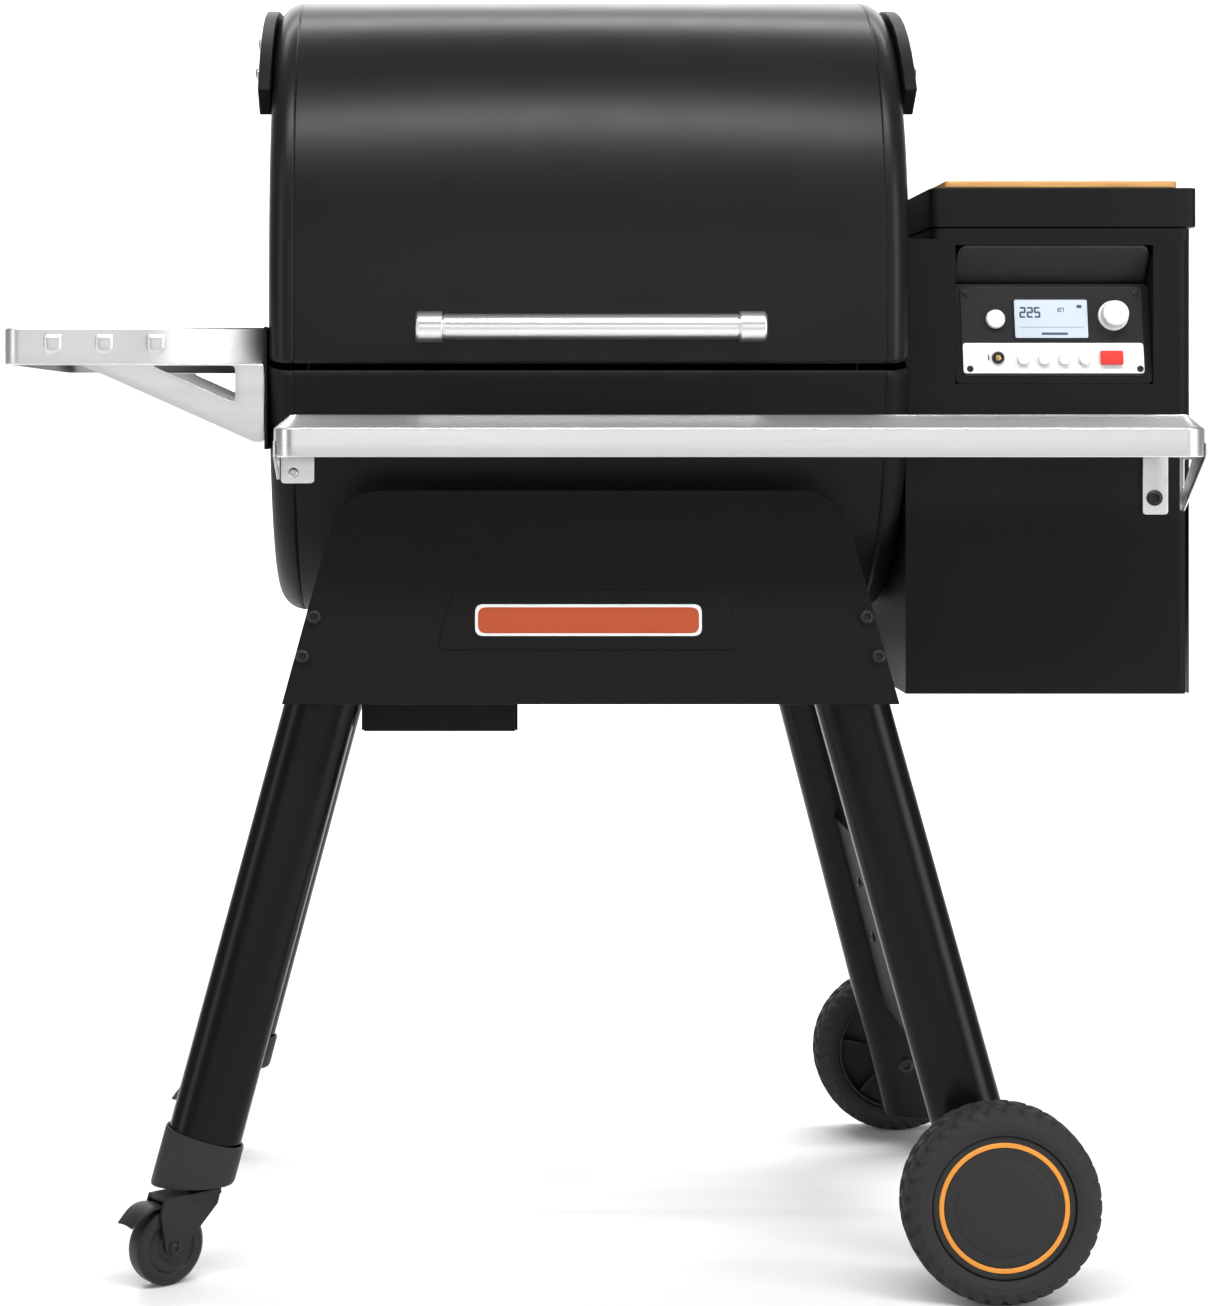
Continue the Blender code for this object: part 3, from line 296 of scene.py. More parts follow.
orangePlastic = coatedMetal("orangeRing", (0.72, 0.28, 0.035), 0.42, grain=1500.0)
badgeOrange = coatedMetal("badgeOrange", (0.38, 0.058, 0.013), 0.36, grain=1200.0)
badgeSilver = coatedMetal("badgeBorder", (0.72, 0.72, 0.71), 0.35, grain=1200.0)
whitePlastic = coatedMetal("whitePrint", (0.74, 0.74, 0.73), 0.40, grain=1800.0)
redPlastic = coatedMetal("redButton", (0.62, 0.030, 0.022), 0.38, grain=1800.0)
screenGlass = coatedMetal("screenFace", (0.50, 0.56, 0.63), 0.22, 3000.0, 0.000005, spread=0.02)
digitInk = coatedMetal("digitInk", (0.055, 0.075, 0.12), 0.35, grain=2000.0)
shelfSteel = brushedMetal("frontShelfSteel", (0.74, 0.74, 0.735), 0.30, (0.02, 1.0, 1.0))
sideSteel = brushedMetal("sideShelfSteel", (0.70, 0.70, 0.695), 0.36, (0.02, 1.0, 1.0))
chromeBar = brushedMetal("handleChrome", (0.90, 0.90, 0.90), 0.30, (0.03, 1.0, 1.0), bumpHeight=0.00001)
boltSteel = brushedMetal("boltSteel", (0.62, 0.62, 0.61), 0.28, (1.0, 1.0, 1.0))
buttonSteel = coatedMetal("buttonSilver", (0.70, 0.70, 0.70), 0.28, 2400.0, 0.000005, specular=0.6)
potSteel = brushedMetal("heatedSteel", (0.16, 0.14, 0.125), 0.48, (1.0, 1.0, 1.0))
enamelWire = coatedMetal("enamelWire", (0.020, 0.020, 0.022), 0.28, grain=900.0)
boardWood = woodBoard("oiledBoard")
brassTip = brushedMetal("brassTip", (0.75, 0.52, 0.22), 0.25, (1.0, 1.0, 1.0))
print("materials made")


# The barrel: lid and body sheets, and the end caps of both.

hinge = next(joint for joint in frame["joints"] if joint["name"] == "lid_hinge")
hingeY, hingeZ = hinge["pos_m"][1], hinge["pos_m"][2]
lidLow, lidHigh = boxCorners("lid_shell")

barrel = {
    "halfDepth": -lidLow[1],
    "exponent": 2.4,
    "sheet": 0.003,
    "capSheet": 0.0027,
    "endTurn": 0.0012,
    "bulge": 0.0255,
    "splitZ": 0.8845,
    "splitGap": 0.0070,
    "bendY": -0.12,
    "aroundSteps": 150,
}
barrelTop, barrelBottom = lidHigh[2], boxCorners("body_shell")[0][2]
barrelZ, halfHeight = (barrelTop + barrelBottom) / 2, (barrelTop - barrelBottom) / 2
barrelLeft, barrelRight = lidLow[0], lidHigh[0]
barrelX = (barrelLeft + barrelRight) / 2


def ovalPoint(angle, inset=0.0):
    # y = -(a - inset) sign(cos t) |cos t|^(2/n), z = middle + (b - inset) sign(sin t) |sin t|^(2/n).
    power = 2 / barrel["exponent"]
    across, up = np.cos(angle), np.sin(angle)
    y = -(barrel["halfDepth"] - inset) * np.sign(across) * np.abs(across) ** power
    z = barrelZ + (halfHeight - inset) * np.sign(up) * np.abs(up) ** power
    return y, z


def frontAngle(z):
    # The oval's angle where its front passes a height.
    share = (z - barrelZ) / halfHeight
    return np.sign(share) * np.arcsin(np.abs(share) ** (barrel["exponent"] / 2))


def frontY(z):
    # The oval's front at a height.
    share = np.abs(z - barrelZ) / halfHeight
    return -barrel["halfDepth"] * (1 - share ** barrel["exponent"]) ** (1 / barrel["exponent"])


halfPower, halfGap = barrel["exponent"] / 2, barrel["splitGap"] / 2
hingeAngle = np.pi - np.arctan2(((hingeZ - barrelZ) / halfHeight) ** halfPower,
                                (hingeY / barrel["halfDepth"]) ** halfPower)
lidSpan = (frontAngle(barrel["splitZ"] + halfGap), hingeAngle - halfGap / halfHeight)
bodySpan = (hingeAngle + halfGap / halfHeight, 2 * np.pi + frontAngle(barrel["splitZ"] - halfGap))


def spreadAngles(span, steps):
    # Angles evenly spaced along the curve's own length rather than in angle.
    fine = np.linspace(*span, steps * 12)
    y, z = ovalPoint(fine)
    length = np.concatenate([[0], np.cumsum(np.hypot(np.diff(y), np.diff(z)))])
    return np.interp(np.linspace(0, length[-1], steps), length, fine)


def shellMesh(name, span):
    # The oval's arc carried along X, with its end rows turned in by a small radius at both ends.
    angles = spreadAngles(span, barrel["aroundSteps"])
    turn = barrel["endTurn"]
    inset = np.array([turn, turn * 0.3, 0.0, 0.0, turn * 0.3, turn])
    x = np.array([barrelLeft, barrelLeft + turn * 0.3, barrelLeft + turn,
                  barrelRight - turn, barrelRight - turn * 0.3, barrelRight])
    y, z = ovalPoint(angles[None, :], inset[:, None])
    points = np.stack([np.broadcast_to(x[:, None], y.shape), y, z], -1)
    return gridMesh(name, points)


def capMesh(name, side, span, gapShift):
    # A round edge from the seam to the flat face, then straight lines to the split's bend:
    # every ray from that bend to the oval stays in its own half.
    angles = spreadAngles(span, barrel["aroundSteps"])
    bulge = barrel["bulge"]
    seam = barrelLeft if side < 0 else barrelRight
    turn = np.linspace(0, np.pi / 2, 12)
    y, z = ovalPoint(angles[None, :], (bulge * (1 - np.cos(turn)))[:, None])
    x = np.broadcast_to((seam + side * bulge * np.sin(turn))[:, None], y.shape)
    rim = np.stack([x, y, z], -1)
    bend = np.array([seam + side * bulge, barrel["bendY"] + gapShift * 0.4, barrel["splitZ"] + gapShift])
    share = np.linspace(0, 1, 10)[1:, None, None]
    inner = rim[-1][None] * (1 - share) + bend * share
    return faceOut(gridMesh(name, np.concatenate([rim, inner])))


def turnOutwards(mesh, centre):
    # An open sheet has no inside, so its faces are compared with the direction from the barrel's middle.
    mesh.update()
    normals = np.empty(len(mesh.polygons) * 3)
    centres = np.empty(len(mesh.polygons) * 3)
    mesh.polygons.foreach_get("normal", normals)
    mesh.polygons.foreach_get("center", centres)
    away = (normals.reshape(-1, 3) * (centres.reshape(-1, 3) - centre)).sum(1)
    if (away > 0).mean() < 0.5:
        mesh.flip_normals()
    return mesh


def sheetPiece(name, mesh, material, body, node, thickness):
    # An open sheet gets its wall on the inner side.
    outwards = turnOutwards(mesh, np.array([barrelX, 0.0, barrelZ]))
    withWall(keepPiece(name, outwards, material, body, nodes=(node,)), thickness)


halves = (("lid", lidSpan, halfGap, lidPaint, "lid"), ("body", bodySpan, -halfGap, blackPaint, "frame"))
for half, span, shift, material, body in halves:
    mesh = shellMesh(f"{half}Sheet", span)
    sheetPiece(f"{half}Sheet", mesh, material, body, f"{half}_shell", barrel["sheet"])
for side, word in bothSides:
    for half, span, shift, material, body in halves:
        mesh = capMesh(f"{half}Cap_{word}", side, span, shift)
        sheetPiece(f"{half}Cap_{word}", mesh, material, body, f"{half}_end_{word}", barrel["capSheet"])
print("barrel made")


# The handle, and the hinge arms with their bolts.

handleLow, handleHigh = boxCorners("lid_handle")
handle = {"radius": 0.0122, "collarRadius": 0.0147, "collarLength": 0.0265}
handleY = handleLow[1] + handle["collarRadius"]
handleZ = (handleLow[2] + handleHigh[2]) / 2
handleMiddle = (handleLow[0] + handleHigh[0]) / 2
handleHalf = (handleHigh[0] - handleLow[0]) / 2


def handleProfile():
    # Radius against distance from the middle: bar, shallow groove, end collar, round nose.
    bar, collar = handle["radius"], handle["collarRadius"]
    start, stop = handleHalf - handle["collarLength"], handleHalf
    right = [(bar, 0.0), (bar, start - 0.001), (bar - 0.0012, start - 0.0005), (bar - 0.0012, start + 0.0005),
             (collar - 0.0006, start + 0.001), (collar, start + 0.0018), (collar, stop - 0.0030),
             (collar - 0.0008, stop - 0.0012), (collar - 0.0028, stop)]
    right = softProfile(right, 0.0006, 3)
    left = right[:0:-1] * (1, -1)
    return np.concatenate([left, right])


barMesh = turnedMesh("bar", handleProfile(), (handleMiddle, handleY, handleZ), (1, 0, 0), 72)
keepPiece("handleBar", barMesh, chromeBar, "lid", nodes=("lid_handle",))
for side, word in bothSides:
    postX = handleMiddle + side * (handleHalf - handle["collarLength"] / 2)
    reach = frontY(handleZ) - handleY
    foot = [(0.0070, 0.009), (0.0070, reach - 0.006), (0.0095, reach - 0.0025), (0.0130, reach - 0.0012),
            (0.0130, reach - 0.0002)]
    middle = (postX, handleY, handleZ)
    post = turnedMesh(f"handlePost_{word}", softProfile(foot, 0.002), middle, (0, 1, 0), 40)
    keepPiece(f"handlePost_{word}", post, chromeBar, "lid")


def boltPiece(name, place, axis, radius, height, material, body, socket=0.45):
    # A domed head with a round recess in its middle.
    profile = [(radius * 0.92, 0.0), (radius, height * 0.15), (radius * 0.96, height * 0.55),
               (radius * 0.7, height * 0.9), (radius * socket * 1.15, height),
               (radius * socket, height * 0.93), (radius * socket * 0.9, height * 0.45)]
    mesh = turnedMesh(name, softProfile(profile, radius * 0.1, 2), place, axis, 24)
    return keepPiece(name, mesh, material, body)


armBolt = {"angles": (np.radians(47), np.radians(60), np.radians(78), hingeAngle - 0.03), "inset": 0.024,
           "sunk": 0.0002, "radius": 0.0068, "height": 0.0045}
for side, word in bothSides:
    node = f"hinge_arm_{word}"
    refinedNode(node, blackPaint, "lid", edge=0.0018)
    low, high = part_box(node)
    face = (low[0] if side < 0 else high[0]) - side * armBolt["sunk"]
    for i, angle in enumerate(armBolt["angles"]):
        boltPiece(f"armBolt_{word}_{i}", (face, *ovalPoint(angle, armBolt["inset"])), (side, 0, 0),
                  armBolt["radius"], armBolt["height"], boltSteel, "lid")
print("handle and arms made")


# The folding front shelf and the side shelf: sheet tops with turned-down rims, and windowed end plates.

def planPath(corners, radius, ends, steps=14):
    # The plan outline from one end round its corners to the other, with the inward normals.
    # Each corner (x, y, first angle) is a quarter circle about a point one radius inwards from it.
    points, normals = [[ends[0][0]]], [[ends[0][1]]]
    for x, y, first in corners:
        turn = np.linspace(first, first + np.pi / 2, steps)
        out = np.stack([np.cos(turn), np.sin(turn)], -1)
        inside = -np.sign([math.cos(first + np.pi / 4), math.sin(first + np.pi / 4)])
        points.append(np.array([x, y]) + radius * inside + radius * out)
        normals.append(-out)
    points.append([ends[1][0]])
    normals.append([ends[1][1]])
    return np.concatenate(points), np.concatenate(normals)


def pannedMesh(name, plan, profile):
    # The profile (distance inwards, height) is carried along the plan path, and the last row is filled flat.
    path, inward = plan
    d, z = np.asarray(profile, float).T
    rows = path[None] + d[:, None, None] * inward[None]
    points = np.concatenate([rows, np.broadcast_to(z[:, None, None], rows.shape[:2] + (1,))], -1)
    return faceOut(gridMesh(name, points, capEnd=True))


def resampled(loop, count):
    # A closed outline sampled evenly along its own length, from the point at angle 0 about its middle.
    loop = np.asarray(loop, float)
    closed = np.concatenate([loop, loop[:1]])
    length = np.concatenate([[0], np.cumsum(np.linalg.norm(np.diff(closed, axis=0), axis=1))])
    at = np.linspace(0, length[-1], count, endpoint=False)
    even = np.stack([np.interp(at, length, closed[:, k]) for k in (0, 1)], -1)
    about = even - even.mean(0)
    return np.roll(even, -int(np.argmin(np.abs(np.arctan2(about[:, 1], about[:, 0])))), axis=0)


def windowPlate(name, outer, inner, normal, place, count=96):
    # A flat plate between an outline and a window: straight lines join equal steps along the two.
    # It lies across the normal axis (0 for X, 1 for Y) at a place on that axis.
    outer, inner = resampled(outer, count), resampled(inner, count)
    share = np.linspace(0, 1, 4)[:, None, None]
    flat = outer[None] * (1 - share) + inner[None] * share
    level = np.full(flat.shape[:2], place)
    sides = (level, flat[..., 0]) if normal == 0 else (flat[..., 0], level)
    return gridMesh(name, np.stack([*sides, flat[..., 1]], -1), closeV=True)


frontLow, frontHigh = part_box("front_shelf")
frontShelf = {"corner": 0.023, "flange": 0.0268, "rise": 0.0131, "run": 0.016, "sheet": 0.0016,
              "back": -0.262, "plate": 0.002, "plateInset": 0.0011}
flangeTop = frontHigh[2] - frontShelf["rise"]
flangeLow = frontHigh[2] - frontShelf["rise"] - frontShelf["flange"]
frontPlan = planPath([(frontLow[0], frontLow[1], np.pi), (frontHigh[0], frontLow[1], 1.5 * np.pi)],
                     frontShelf["corner"], [((frontLow[0], frontShelf["back"]), (1.0, 0.0)),
                                            ((frontHigh[0], frontShelf["back"]), (-1.0, 0.0))])
profile = softProfile([(0.0035, flangeLow), (0.0, flangeLow + 0.0002), (0.0, flangeTop),
                       (frontShelf["run"], frontHigh[2]), (frontShelf["run"] + 0.006, frontHigh[2])], 0.0016)
top = keepPiece("frontShelfTop", pannedMesh("frontShelfTop", frontPlan, profile), shelfSteel, "front_shelf",
                nodes=("front_shelf",))
withWall(top, frontShelf["sheet"])


def shelfGusset(name, x, back, drop):
    # A triangular end plate with a window, from the flange's lower front to the hinge.
    low, front = flangeLow + 0.001, frontLow[1] + 0.010
    outer = roundCorners([(front, low + 0.014), (back, low + 0.014), (back, low - drop),
                          (back - 0.011, low - drop), (front, low)], 0.003)
    inner = roundCorners([(back - 0.042, low - 0.004), (back - 0.010, low - 0.004),
                          (back - 0.010, low - drop * 0.62)], 0.003)
    mesh = windowPlate(name, outer, inner, 0, x)
    plate = keepPiece(name, mesh, shelfSteel, "front_shelf")
    withWall(plate, frontShelf["plate"], 0.0, 0.0004)


shelfGusset("frontGusset_left", frontLow[0] + frontShelf["plateInset"], frontShelf["back"] - 0.008, 0.023)
shelfGusset("frontGusset_right", frontHigh[0] - frontShelf["plateInset"], frontShelf["back"] + 0.018, 0.054)
for word, radius, metal, inset, up in (("left", 0.0052, boltSteel, 0.004, 0.010),
                                       ("right", 0.0080, casterBlack, 0.001, 0.0165)):
    node = f"shelf_bracket_{word}"
    refinedNode(node, shelfSteel, "frame", edge=0.0006)
    low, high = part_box(node)
    spot = ((low[0] + high[0]) / 2 - inset, low[1], low[2] + up)
    boltPiece(f"bracketBolt_{word}", spot, (0, -1, 0), radius, 0.004, metal, "frame")

sideLow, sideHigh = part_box("side_shelf")
sideShelf = {"corner": 0.018, "flange": 0.0365, "sheet": 0.0016, "plate": 0.0018, "plateInset": 0.0010,
             "gussetLength": 0.180, "drop": 0.076, "windowLeft": 0.070, "windowRight": 0.028}
sideRim = sideHigh[2] - sideShelf["flange"]
sidePlan = planPath([(sideLow[0], sideHigh[1], 0.5 * np.pi), (sideLow[0], sideLow[1], np.pi)],
                    sideShelf["corner"], [((sideHigh[0], sideHigh[1]), (0.0, -1.0)),
                                          ((sideHigh[0], sideLow[1]), (0.0, 1.0))])
profile = softProfile([(0.0030, sideRim), (0.0, sideRim + 0.0002), (0.0, sideHigh[2]), (0.012, sideHigh[2])],
                      0.0028, 6)
top = keepPiece("sideShelfTop", pannedMesh("sideShelfTop", sidePlan, profile), sideSteel, "frame",
                nodes=("side_shelf",))
withWall(top, sideShelf["sheet"])


def sideGusset(name, y):
    # The shelf's end plate: a long triangle under the flange with a triangular window.
    left, right = sideHigh[0] - sideShelf["gussetLength"], sideHigh[0]
    low, drop = sideRim + 0.001, sideShelf["drop"]
    windowLeft, windowRight = left + sideShelf["windowLeft"], right - sideShelf["windowRight"]
    outer = roundCorners([(left, low), (right, low), (right, low - drop), (right - 0.010, low - drop)], 0.002)
    inner = roundCorners([(windowLeft, low - 0.0015), (windowRight, low - 0.0015),
                          (windowRight, low - drop * 0.50)], 0.005)
    mesh = windowPlate(name, outer, inner, 1, y, 160)
    plate = keepPiece(name, mesh, sideSteel, "frame")
    withWall(plate, sideShelf["plate"], 0.0, 0.0003)


sideGusset("sideGusset_front", sideLow[1] + sideShelf["plateInset"])
sideGusset("sideGusset_rear", sideHigh[1] - sideShelf["plateInset"])
hook = {"width": 0.0185, "tall": 0.0205, "height": 0.0030, "first": 0.049, "pitch": 0.0503, "up": 0.56}


def hookTab(name, x):
    # A punched tab: its outline is square above and round below, and it bulges by h(1 - s^4).
    turn = np.linspace(0, 2 * np.pi, 48, endpoint=False)
    s = np.linspace(1, 0.02, 9)
    power = np.where(np.sin(turn) > 0, 0.35, 0.8)
    across = np.sign(np.cos(turn)) * np.abs(np.cos(turn)) ** power * hook["width"] / 2
    up = np.sign(np.sin(turn)) * np.abs(np.sin(turn)) ** power * hook["tall"] / 2
    bulge = hook["height"] * (1 - s ** 4)
    z = sideRim + sideShelf["flange"] * hook["up"]
    y = np.broadcast_to(sideLow[1] - bulge[:, None], (len(s), len(turn)))
    points = np.stack([x + s[:, None] * across, y, z + s[:, None] * up], -1)
    keepPiece(name, tubeMesh(name, points), sideSteel, "frame")


for i in range(3):
    hookTab(f"hookTab_{i}", sideLow[0] + hook["first"] + i * hook["pitch"])
refinedNode("side_shelf_mount", blackPaint, "frame", edge=0.0008)
print("shelves made")


# The hopper with its lid, board and sloping control panel.

hopperLow, hopperHigh = boxCorners("hopper_box")
refinedNode("hopper_box", blackPaint, "frame", edge=0.0022, segments=4, sharpAngle=24)
refinedNode("hopper_lid", blackPaint, "hopper_lid", edge=0.0030, segments=4)
refinedNode("cutting_board", boardWood, "cutting_board", edge=0.0020, segments=3)
refinedNode("control_panel", panelBlack, "frame", edge=0.0008)
refinedNode("power_inlet", blackPlastic, "frame", edge=0.0010)

brow = {"left": 0.0262, "front": 0.0002, "back": 0.0080, "low": 0.0130, "high": 0.0010, "width": 0.0125}


def browMesh(name):
    # A frame that closes the slot under the hopper's lid: flush with the walls below, open over the bin.
    left, front = hopperLow[0] + brow["left"], hopperLow[1] + brow["front"]
    right, back = hopperHigh[0] - brow["front"], hopperHigh[1] - brow["back"]
    low, high = hopperHigh[2] - brow["low"], hopperHigh[2] - brow["high"]
    rings = []
    for inset, z in ((0.0, low), (0.0, high), (brow["width"], high), (brow["width"], low)):
        plan = roundCorners([(left + inset, front + inset), (right - inset, front + inset),
                             (right - inset, back - inset), (left + inset, back - inset)],
                            0.0118 if inset == 0 else 0.0030, 8)
        rings.append(np.concatenate([plan, np.full((len(plan), 1), z)], 1))
    return faceOut(gridMesh(name, np.array(rings), closeU=True, closeV=True))


keepPiece("hopperBrow", browMesh("hopperBrow"), blackPaint, "frame")
panelTilt = math.radians(10.8)
panelLow, panelHigh = boxCorners("control_panel")
panelUp = np.array([0.0, math.sin(panelTilt), math.cos(panelTilt)])
panelOut = np.array([0.0, -math.cos(panelTilt), math.sin(panelTilt)])
panelCorner = np.array([(panelLow[0] + panelHigh[0]) / 2, panelLow[1],
                        panelLow[2] + 0.004 * math.sin(panelTilt)])


def onPanel(across, up, lift=0.0):
    # The panel's lower middle + across along X + up its slope + lift along its normal.
    return panelCorner + np.array([across, 0.0, 0.0]) + up * panelUp + lift * panelOut


def padMesh(name, across, up, width, height, low, high, corner, edge):
    # A raised pad on the panel: a rounded rectangle carried up, its top edge turned in by a quarter circle.
    turn = np.linspace(0, 2 * np.pi, 48, endpoint=False)
    cx, cz = np.cos(turn), np.sin(turn)
    ringX = np.sign(cx) * (width / 2 - corner) + corner * cx
    ringZ = np.sign(cz) * (height / 2 - corner) + corner * cz
    t = np.linspace(0, np.pi / 2, 5)
    inset = np.concatenate([[0.0], edge * (1 - np.cos(t))])
    lift = np.concatenate([[low], high - edge + edge * np.sin(t)])
    shrinkX, shrinkZ = 1 - inset / (width / 2), 1 - inset / (height / 2)
    points = (panelCorner + (across + shrinkX[:, None] * ringX)[..., None] * np.array([1.0, 0, 0])
              + (up + shrinkZ[:, None] * ringZ)[..., None] * panelUp + lift[:, None, None] * panelOut)
    return tubeMesh(name, points)


def padPiece(name, material, place, size, lift, corner, edge=0.0004, body="frame", nodes=()):
    # place is (across, up), size is (width, height) and lift is the (low, high) of the pad.
    mesh = padMesh(name, *place, *size, *lift, corner, edge)
    return keepPiece(name, mesh, material, body, nodes, sharpAngle=50)


recess = {"halfWidth": 0.0955, "topZ": 1.0050, "lowZ": 0.9685, "frontY": 0.0008, "backY": 0.0290,
          "corner": 0.010}


def hoodMesh(name):
    # The recess's slanted upper wall: height falls evenly as it goes back, and its top corners are cut round.
    across = np.linspace(-recess["halfWidth"], recess["halfWidth"], 61)[None]
    share = np.linspace(0, 1, 13)[:, None]
    short = np.clip((np.abs(across) - recess["halfWidth"] + recess["corner"]) / recess["corner"], 0, 1)
    high, low = recess["topZ"] - recess["corner"] * (1 - np.sqrt(1 - short ** 2)), recess["lowZ"]
    z = high + (low - high) * share
    sunk = (recess["backY"] - recess["frontY"]) * (recess["topZ"] - z) / (recess["topZ"] - low)
    y = hopperLow[1] + recess["frontY"] + sunk
    return gridMesh(name, np.stack(np.broadcast_arrays(panelCorner[0] + across, y, z), -1))


withWall(keepPiece("recessHood", hoodMesh("recessHood"), blackPlastic, "frame"), 0.0010, 0.0)
display = (-0.0010, 0.0575)
padPiece("recessLiner", blackPaint, (0.0, 0.0430), (0.1940, 0.1010), (-0.0034, -0.0012), 0.0060)
padPiece("panelBand", whitePlastic, (0.0, 0.0180), (0.1780, 0.0305), (0.0, 0.00022), 0.0030, 0.0001)
padPiece("displayBezel", panelBlack, display, (0.0760, 0.0424), (0.0, 0.0009), 0.0030)
padPiece("displayFace", screenGlass, display, (0.0721, 0.0386), (0.0, 0.0012), 0.0020, 0.0003,
         nodes=("display_screen",))
padPiece("ignitePad", redPlastic, (0.0568, 0.0178), (0.0220, 0.0137), (0.0018, 0.0050), 0.0012, 0.0007,
         body="ignite_button", nodes=("ignite_button",))
padPiece("menuPrint_0", digitInk, (-0.0640, 0.0185), (0.0014, 0.0060), (0.0003, 0.00050), 0.0006, 0.0001)
padPiece("statusLine_0", digitInk, (0.0020, 0.0424), (0.0260, 0.0024), (0.0011, 0.00135), 0.0008, 0.0001)
padPiece("statusLine_1", digitInk, (0.0270, 0.0700), (0.0050, 0.0032), (0.0011, 0.00135), 0.0008, 0.0001)
padPiece("statusRule", digitInk, (-0.0010, 0.0490), (0.0640, 0.0004), (0.0011, 0.00130), 0.0002, 0.00005)

# Each stroke of a digit: its place across and up in half digits, and whether it lies flat.
strokePlaces = {"a": (0, 1, 1), "b": (0.5, 0.5, 0), "c": (0.5, -0.5, 0), "d": (0, -1, 1),
                "e": (-0.5, -0.5, 0), "f": (-0.5, 0.5, 0), "g": (0, 0, 1)}
digitStrokes = {"0": "abcdef", "1": "bc", "2": "abged", "5": "afgcd", "7": "abc"}


def readout(word, across, up, size):
    # A row of seven-stroke digits, each stroke a thin pad.
    meshes = []
    for i, digit in enumerate(word):
        for x, z, flat in (strokePlaces[stroke] for stroke in digitStrokes[digit]):
            width, height = (size * 0.56, size * 0.20) if flat else (size * 0.20, size * 0.54)
            meshes.append(padMesh("stroke", across + i * size * 0.78 + x * size * 0.5, up + z * size * 0.5,
                                  width, height, 0.0011, 0.00135, size * 0.04, 0.0001))
    keepPiece(f"readout_{word}", joinMeshes(f"readout_{word}", meshes), digitInk, "frame")


readout("225", -0.0290, 0.0640, 0.0092)
readout("107", 0.0050, 0.0665, 0.0036)

knobProfile = softProfile([(0.0149, 0.0), (0.0149, 0.0026), (0.0132, 0.0032), (0.0131, 0.0040),
                           (0.0127, 0.0132), (0.0118, 0.0140), (0.0020, 0.0139)], 0.0006)
knobMesh = turnedMesh("knobBody", knobProfile, onPanel(0.0604, 0.0606, 0.0004), panelOut, 72)
keepPiece("knobBody", knobMesh, buttonSteel, "selector_knob", nodes=("selector_knob",))


def buttonPiece(name, place, radius):
    # A shallow button with a dished face: its height falls by 0.5 mm times (1 - s^2) towards the middle.
    s = np.linspace(1, 0.05, 8)
    face = np.stack([radius * 0.93 * s, 0.0050 - 0.0005 * (1 - s ** 2)], -1)
    profile = softProfile(np.concatenate([[(radius, 0.0018)], face]), 0.0004, 3)
    mesh = turnedMesh(name, profile, onPanel(*place), panelOut, 48)
    keepPiece(f"{name}_cap", mesh, buttonSteel, name, nodes=(name,))


buttonPiece("power_button", (-0.0562, 0.0570), 0.0096)
for i in range(4):
    buttonPiece(f"menu_button_{i + 1}", (-0.0301 + i * 0.0202, 0.0163), 0.0059)

jackPlace = onPanel(-0.0548, 0.0181)
jackRing = [(0.0030, 0.0002), (0.0061, 0.0002), (0.0061, 0.0026), (0.0052, 0.0032), (0.0036, 0.0032),
            (0.0030, 0.0026)]
jackCore = [(0.0013, 0.0002), (0.0030, 0.0002), (0.0030, 0.0030), (0.0023, 0.0036), (0.0013, 0.0030)]
ring = turnedMesh("jackRing", jackRing, jackPlace, panelOut, 40, closed=True)
keepPiece("jackRing", ring, panelBlack, "frame", nodes=("probe_jack",))
core = turnedMesh("jackCore", jackCore, jackPlace, panelOut, 32, closed=True)
keepPiece("jackCore", core, brassTip, "frame")
for i, (across, up) in enumerate(((-0.0842, 0.0838), (0.0835, 0.0838), (-0.0825, 0.0072), (0.0850, 0.0072))):
    place = onPanel(across, up, 0.0002)
    boltPiece(f"panelScrew_{i}", place, panelOut, 0.0033, 0.0013, casterBlack, "frame")
print("hopper made")


# Legs, collars, brace and aprons.

leg = {"spreadX": 0.1885, "spreadY": 0.170, "slopeX": 0.268, "slopeY": 0.090, "fromZ": 0.8285, "width": 0.072,
       "depth": 0.050, "middleY": 0.008, "roundness": 0.92, "steps": 96}


def legMiddle(side, end, z):
    # The leg's middle line: it moves outwards as it drops.
    drop = leg["fromZ"] - z
    x = barrelX + side * (leg["spreadX"] + leg["slopeX"] * drop)
    return x, leg["middleY"] + end * (leg["spreadY"] + leg["slopeY"] * drop)


def legSurface(side, end, heights, grow, lean=None):
    # Ovals |cos t|^p, |sin t|^p about the leg's sloping axis, one for each height, each wider by grow.
    # A ring with a lean of 1 is square to the leg rather than level.
    heights, grow = np.asarray(heights, float)[:, None], np.asarray(grow, float)[:, None]
    lean = np.zeros_like(heights) if lean is None else np.asarray(lean, float)[:, None]
    t = np.linspace(0, 2 * np.pi, leg["steps"], endpoint=False)[None]
    across, along = (np.sign(wave) * np.abs(wave) ** leg["roundness"] for wave in (np.cos(t), np.sin(t)))
    x = (leg["width"] / 2 * math.hypot(1, leg["slopeX"]) + grow) * across
    y = (leg["depth"] / 2 + grow) * along
    rise = lean * side * x * leg["slopeX"]
    middleX, middleY = legMiddle(side, end, heights)
    return np.stack([middleX + x - side * leg["slopeX"] * rise, middleY + y - end * leg["slopeY"] * rise,
                     heights + rise], -1)


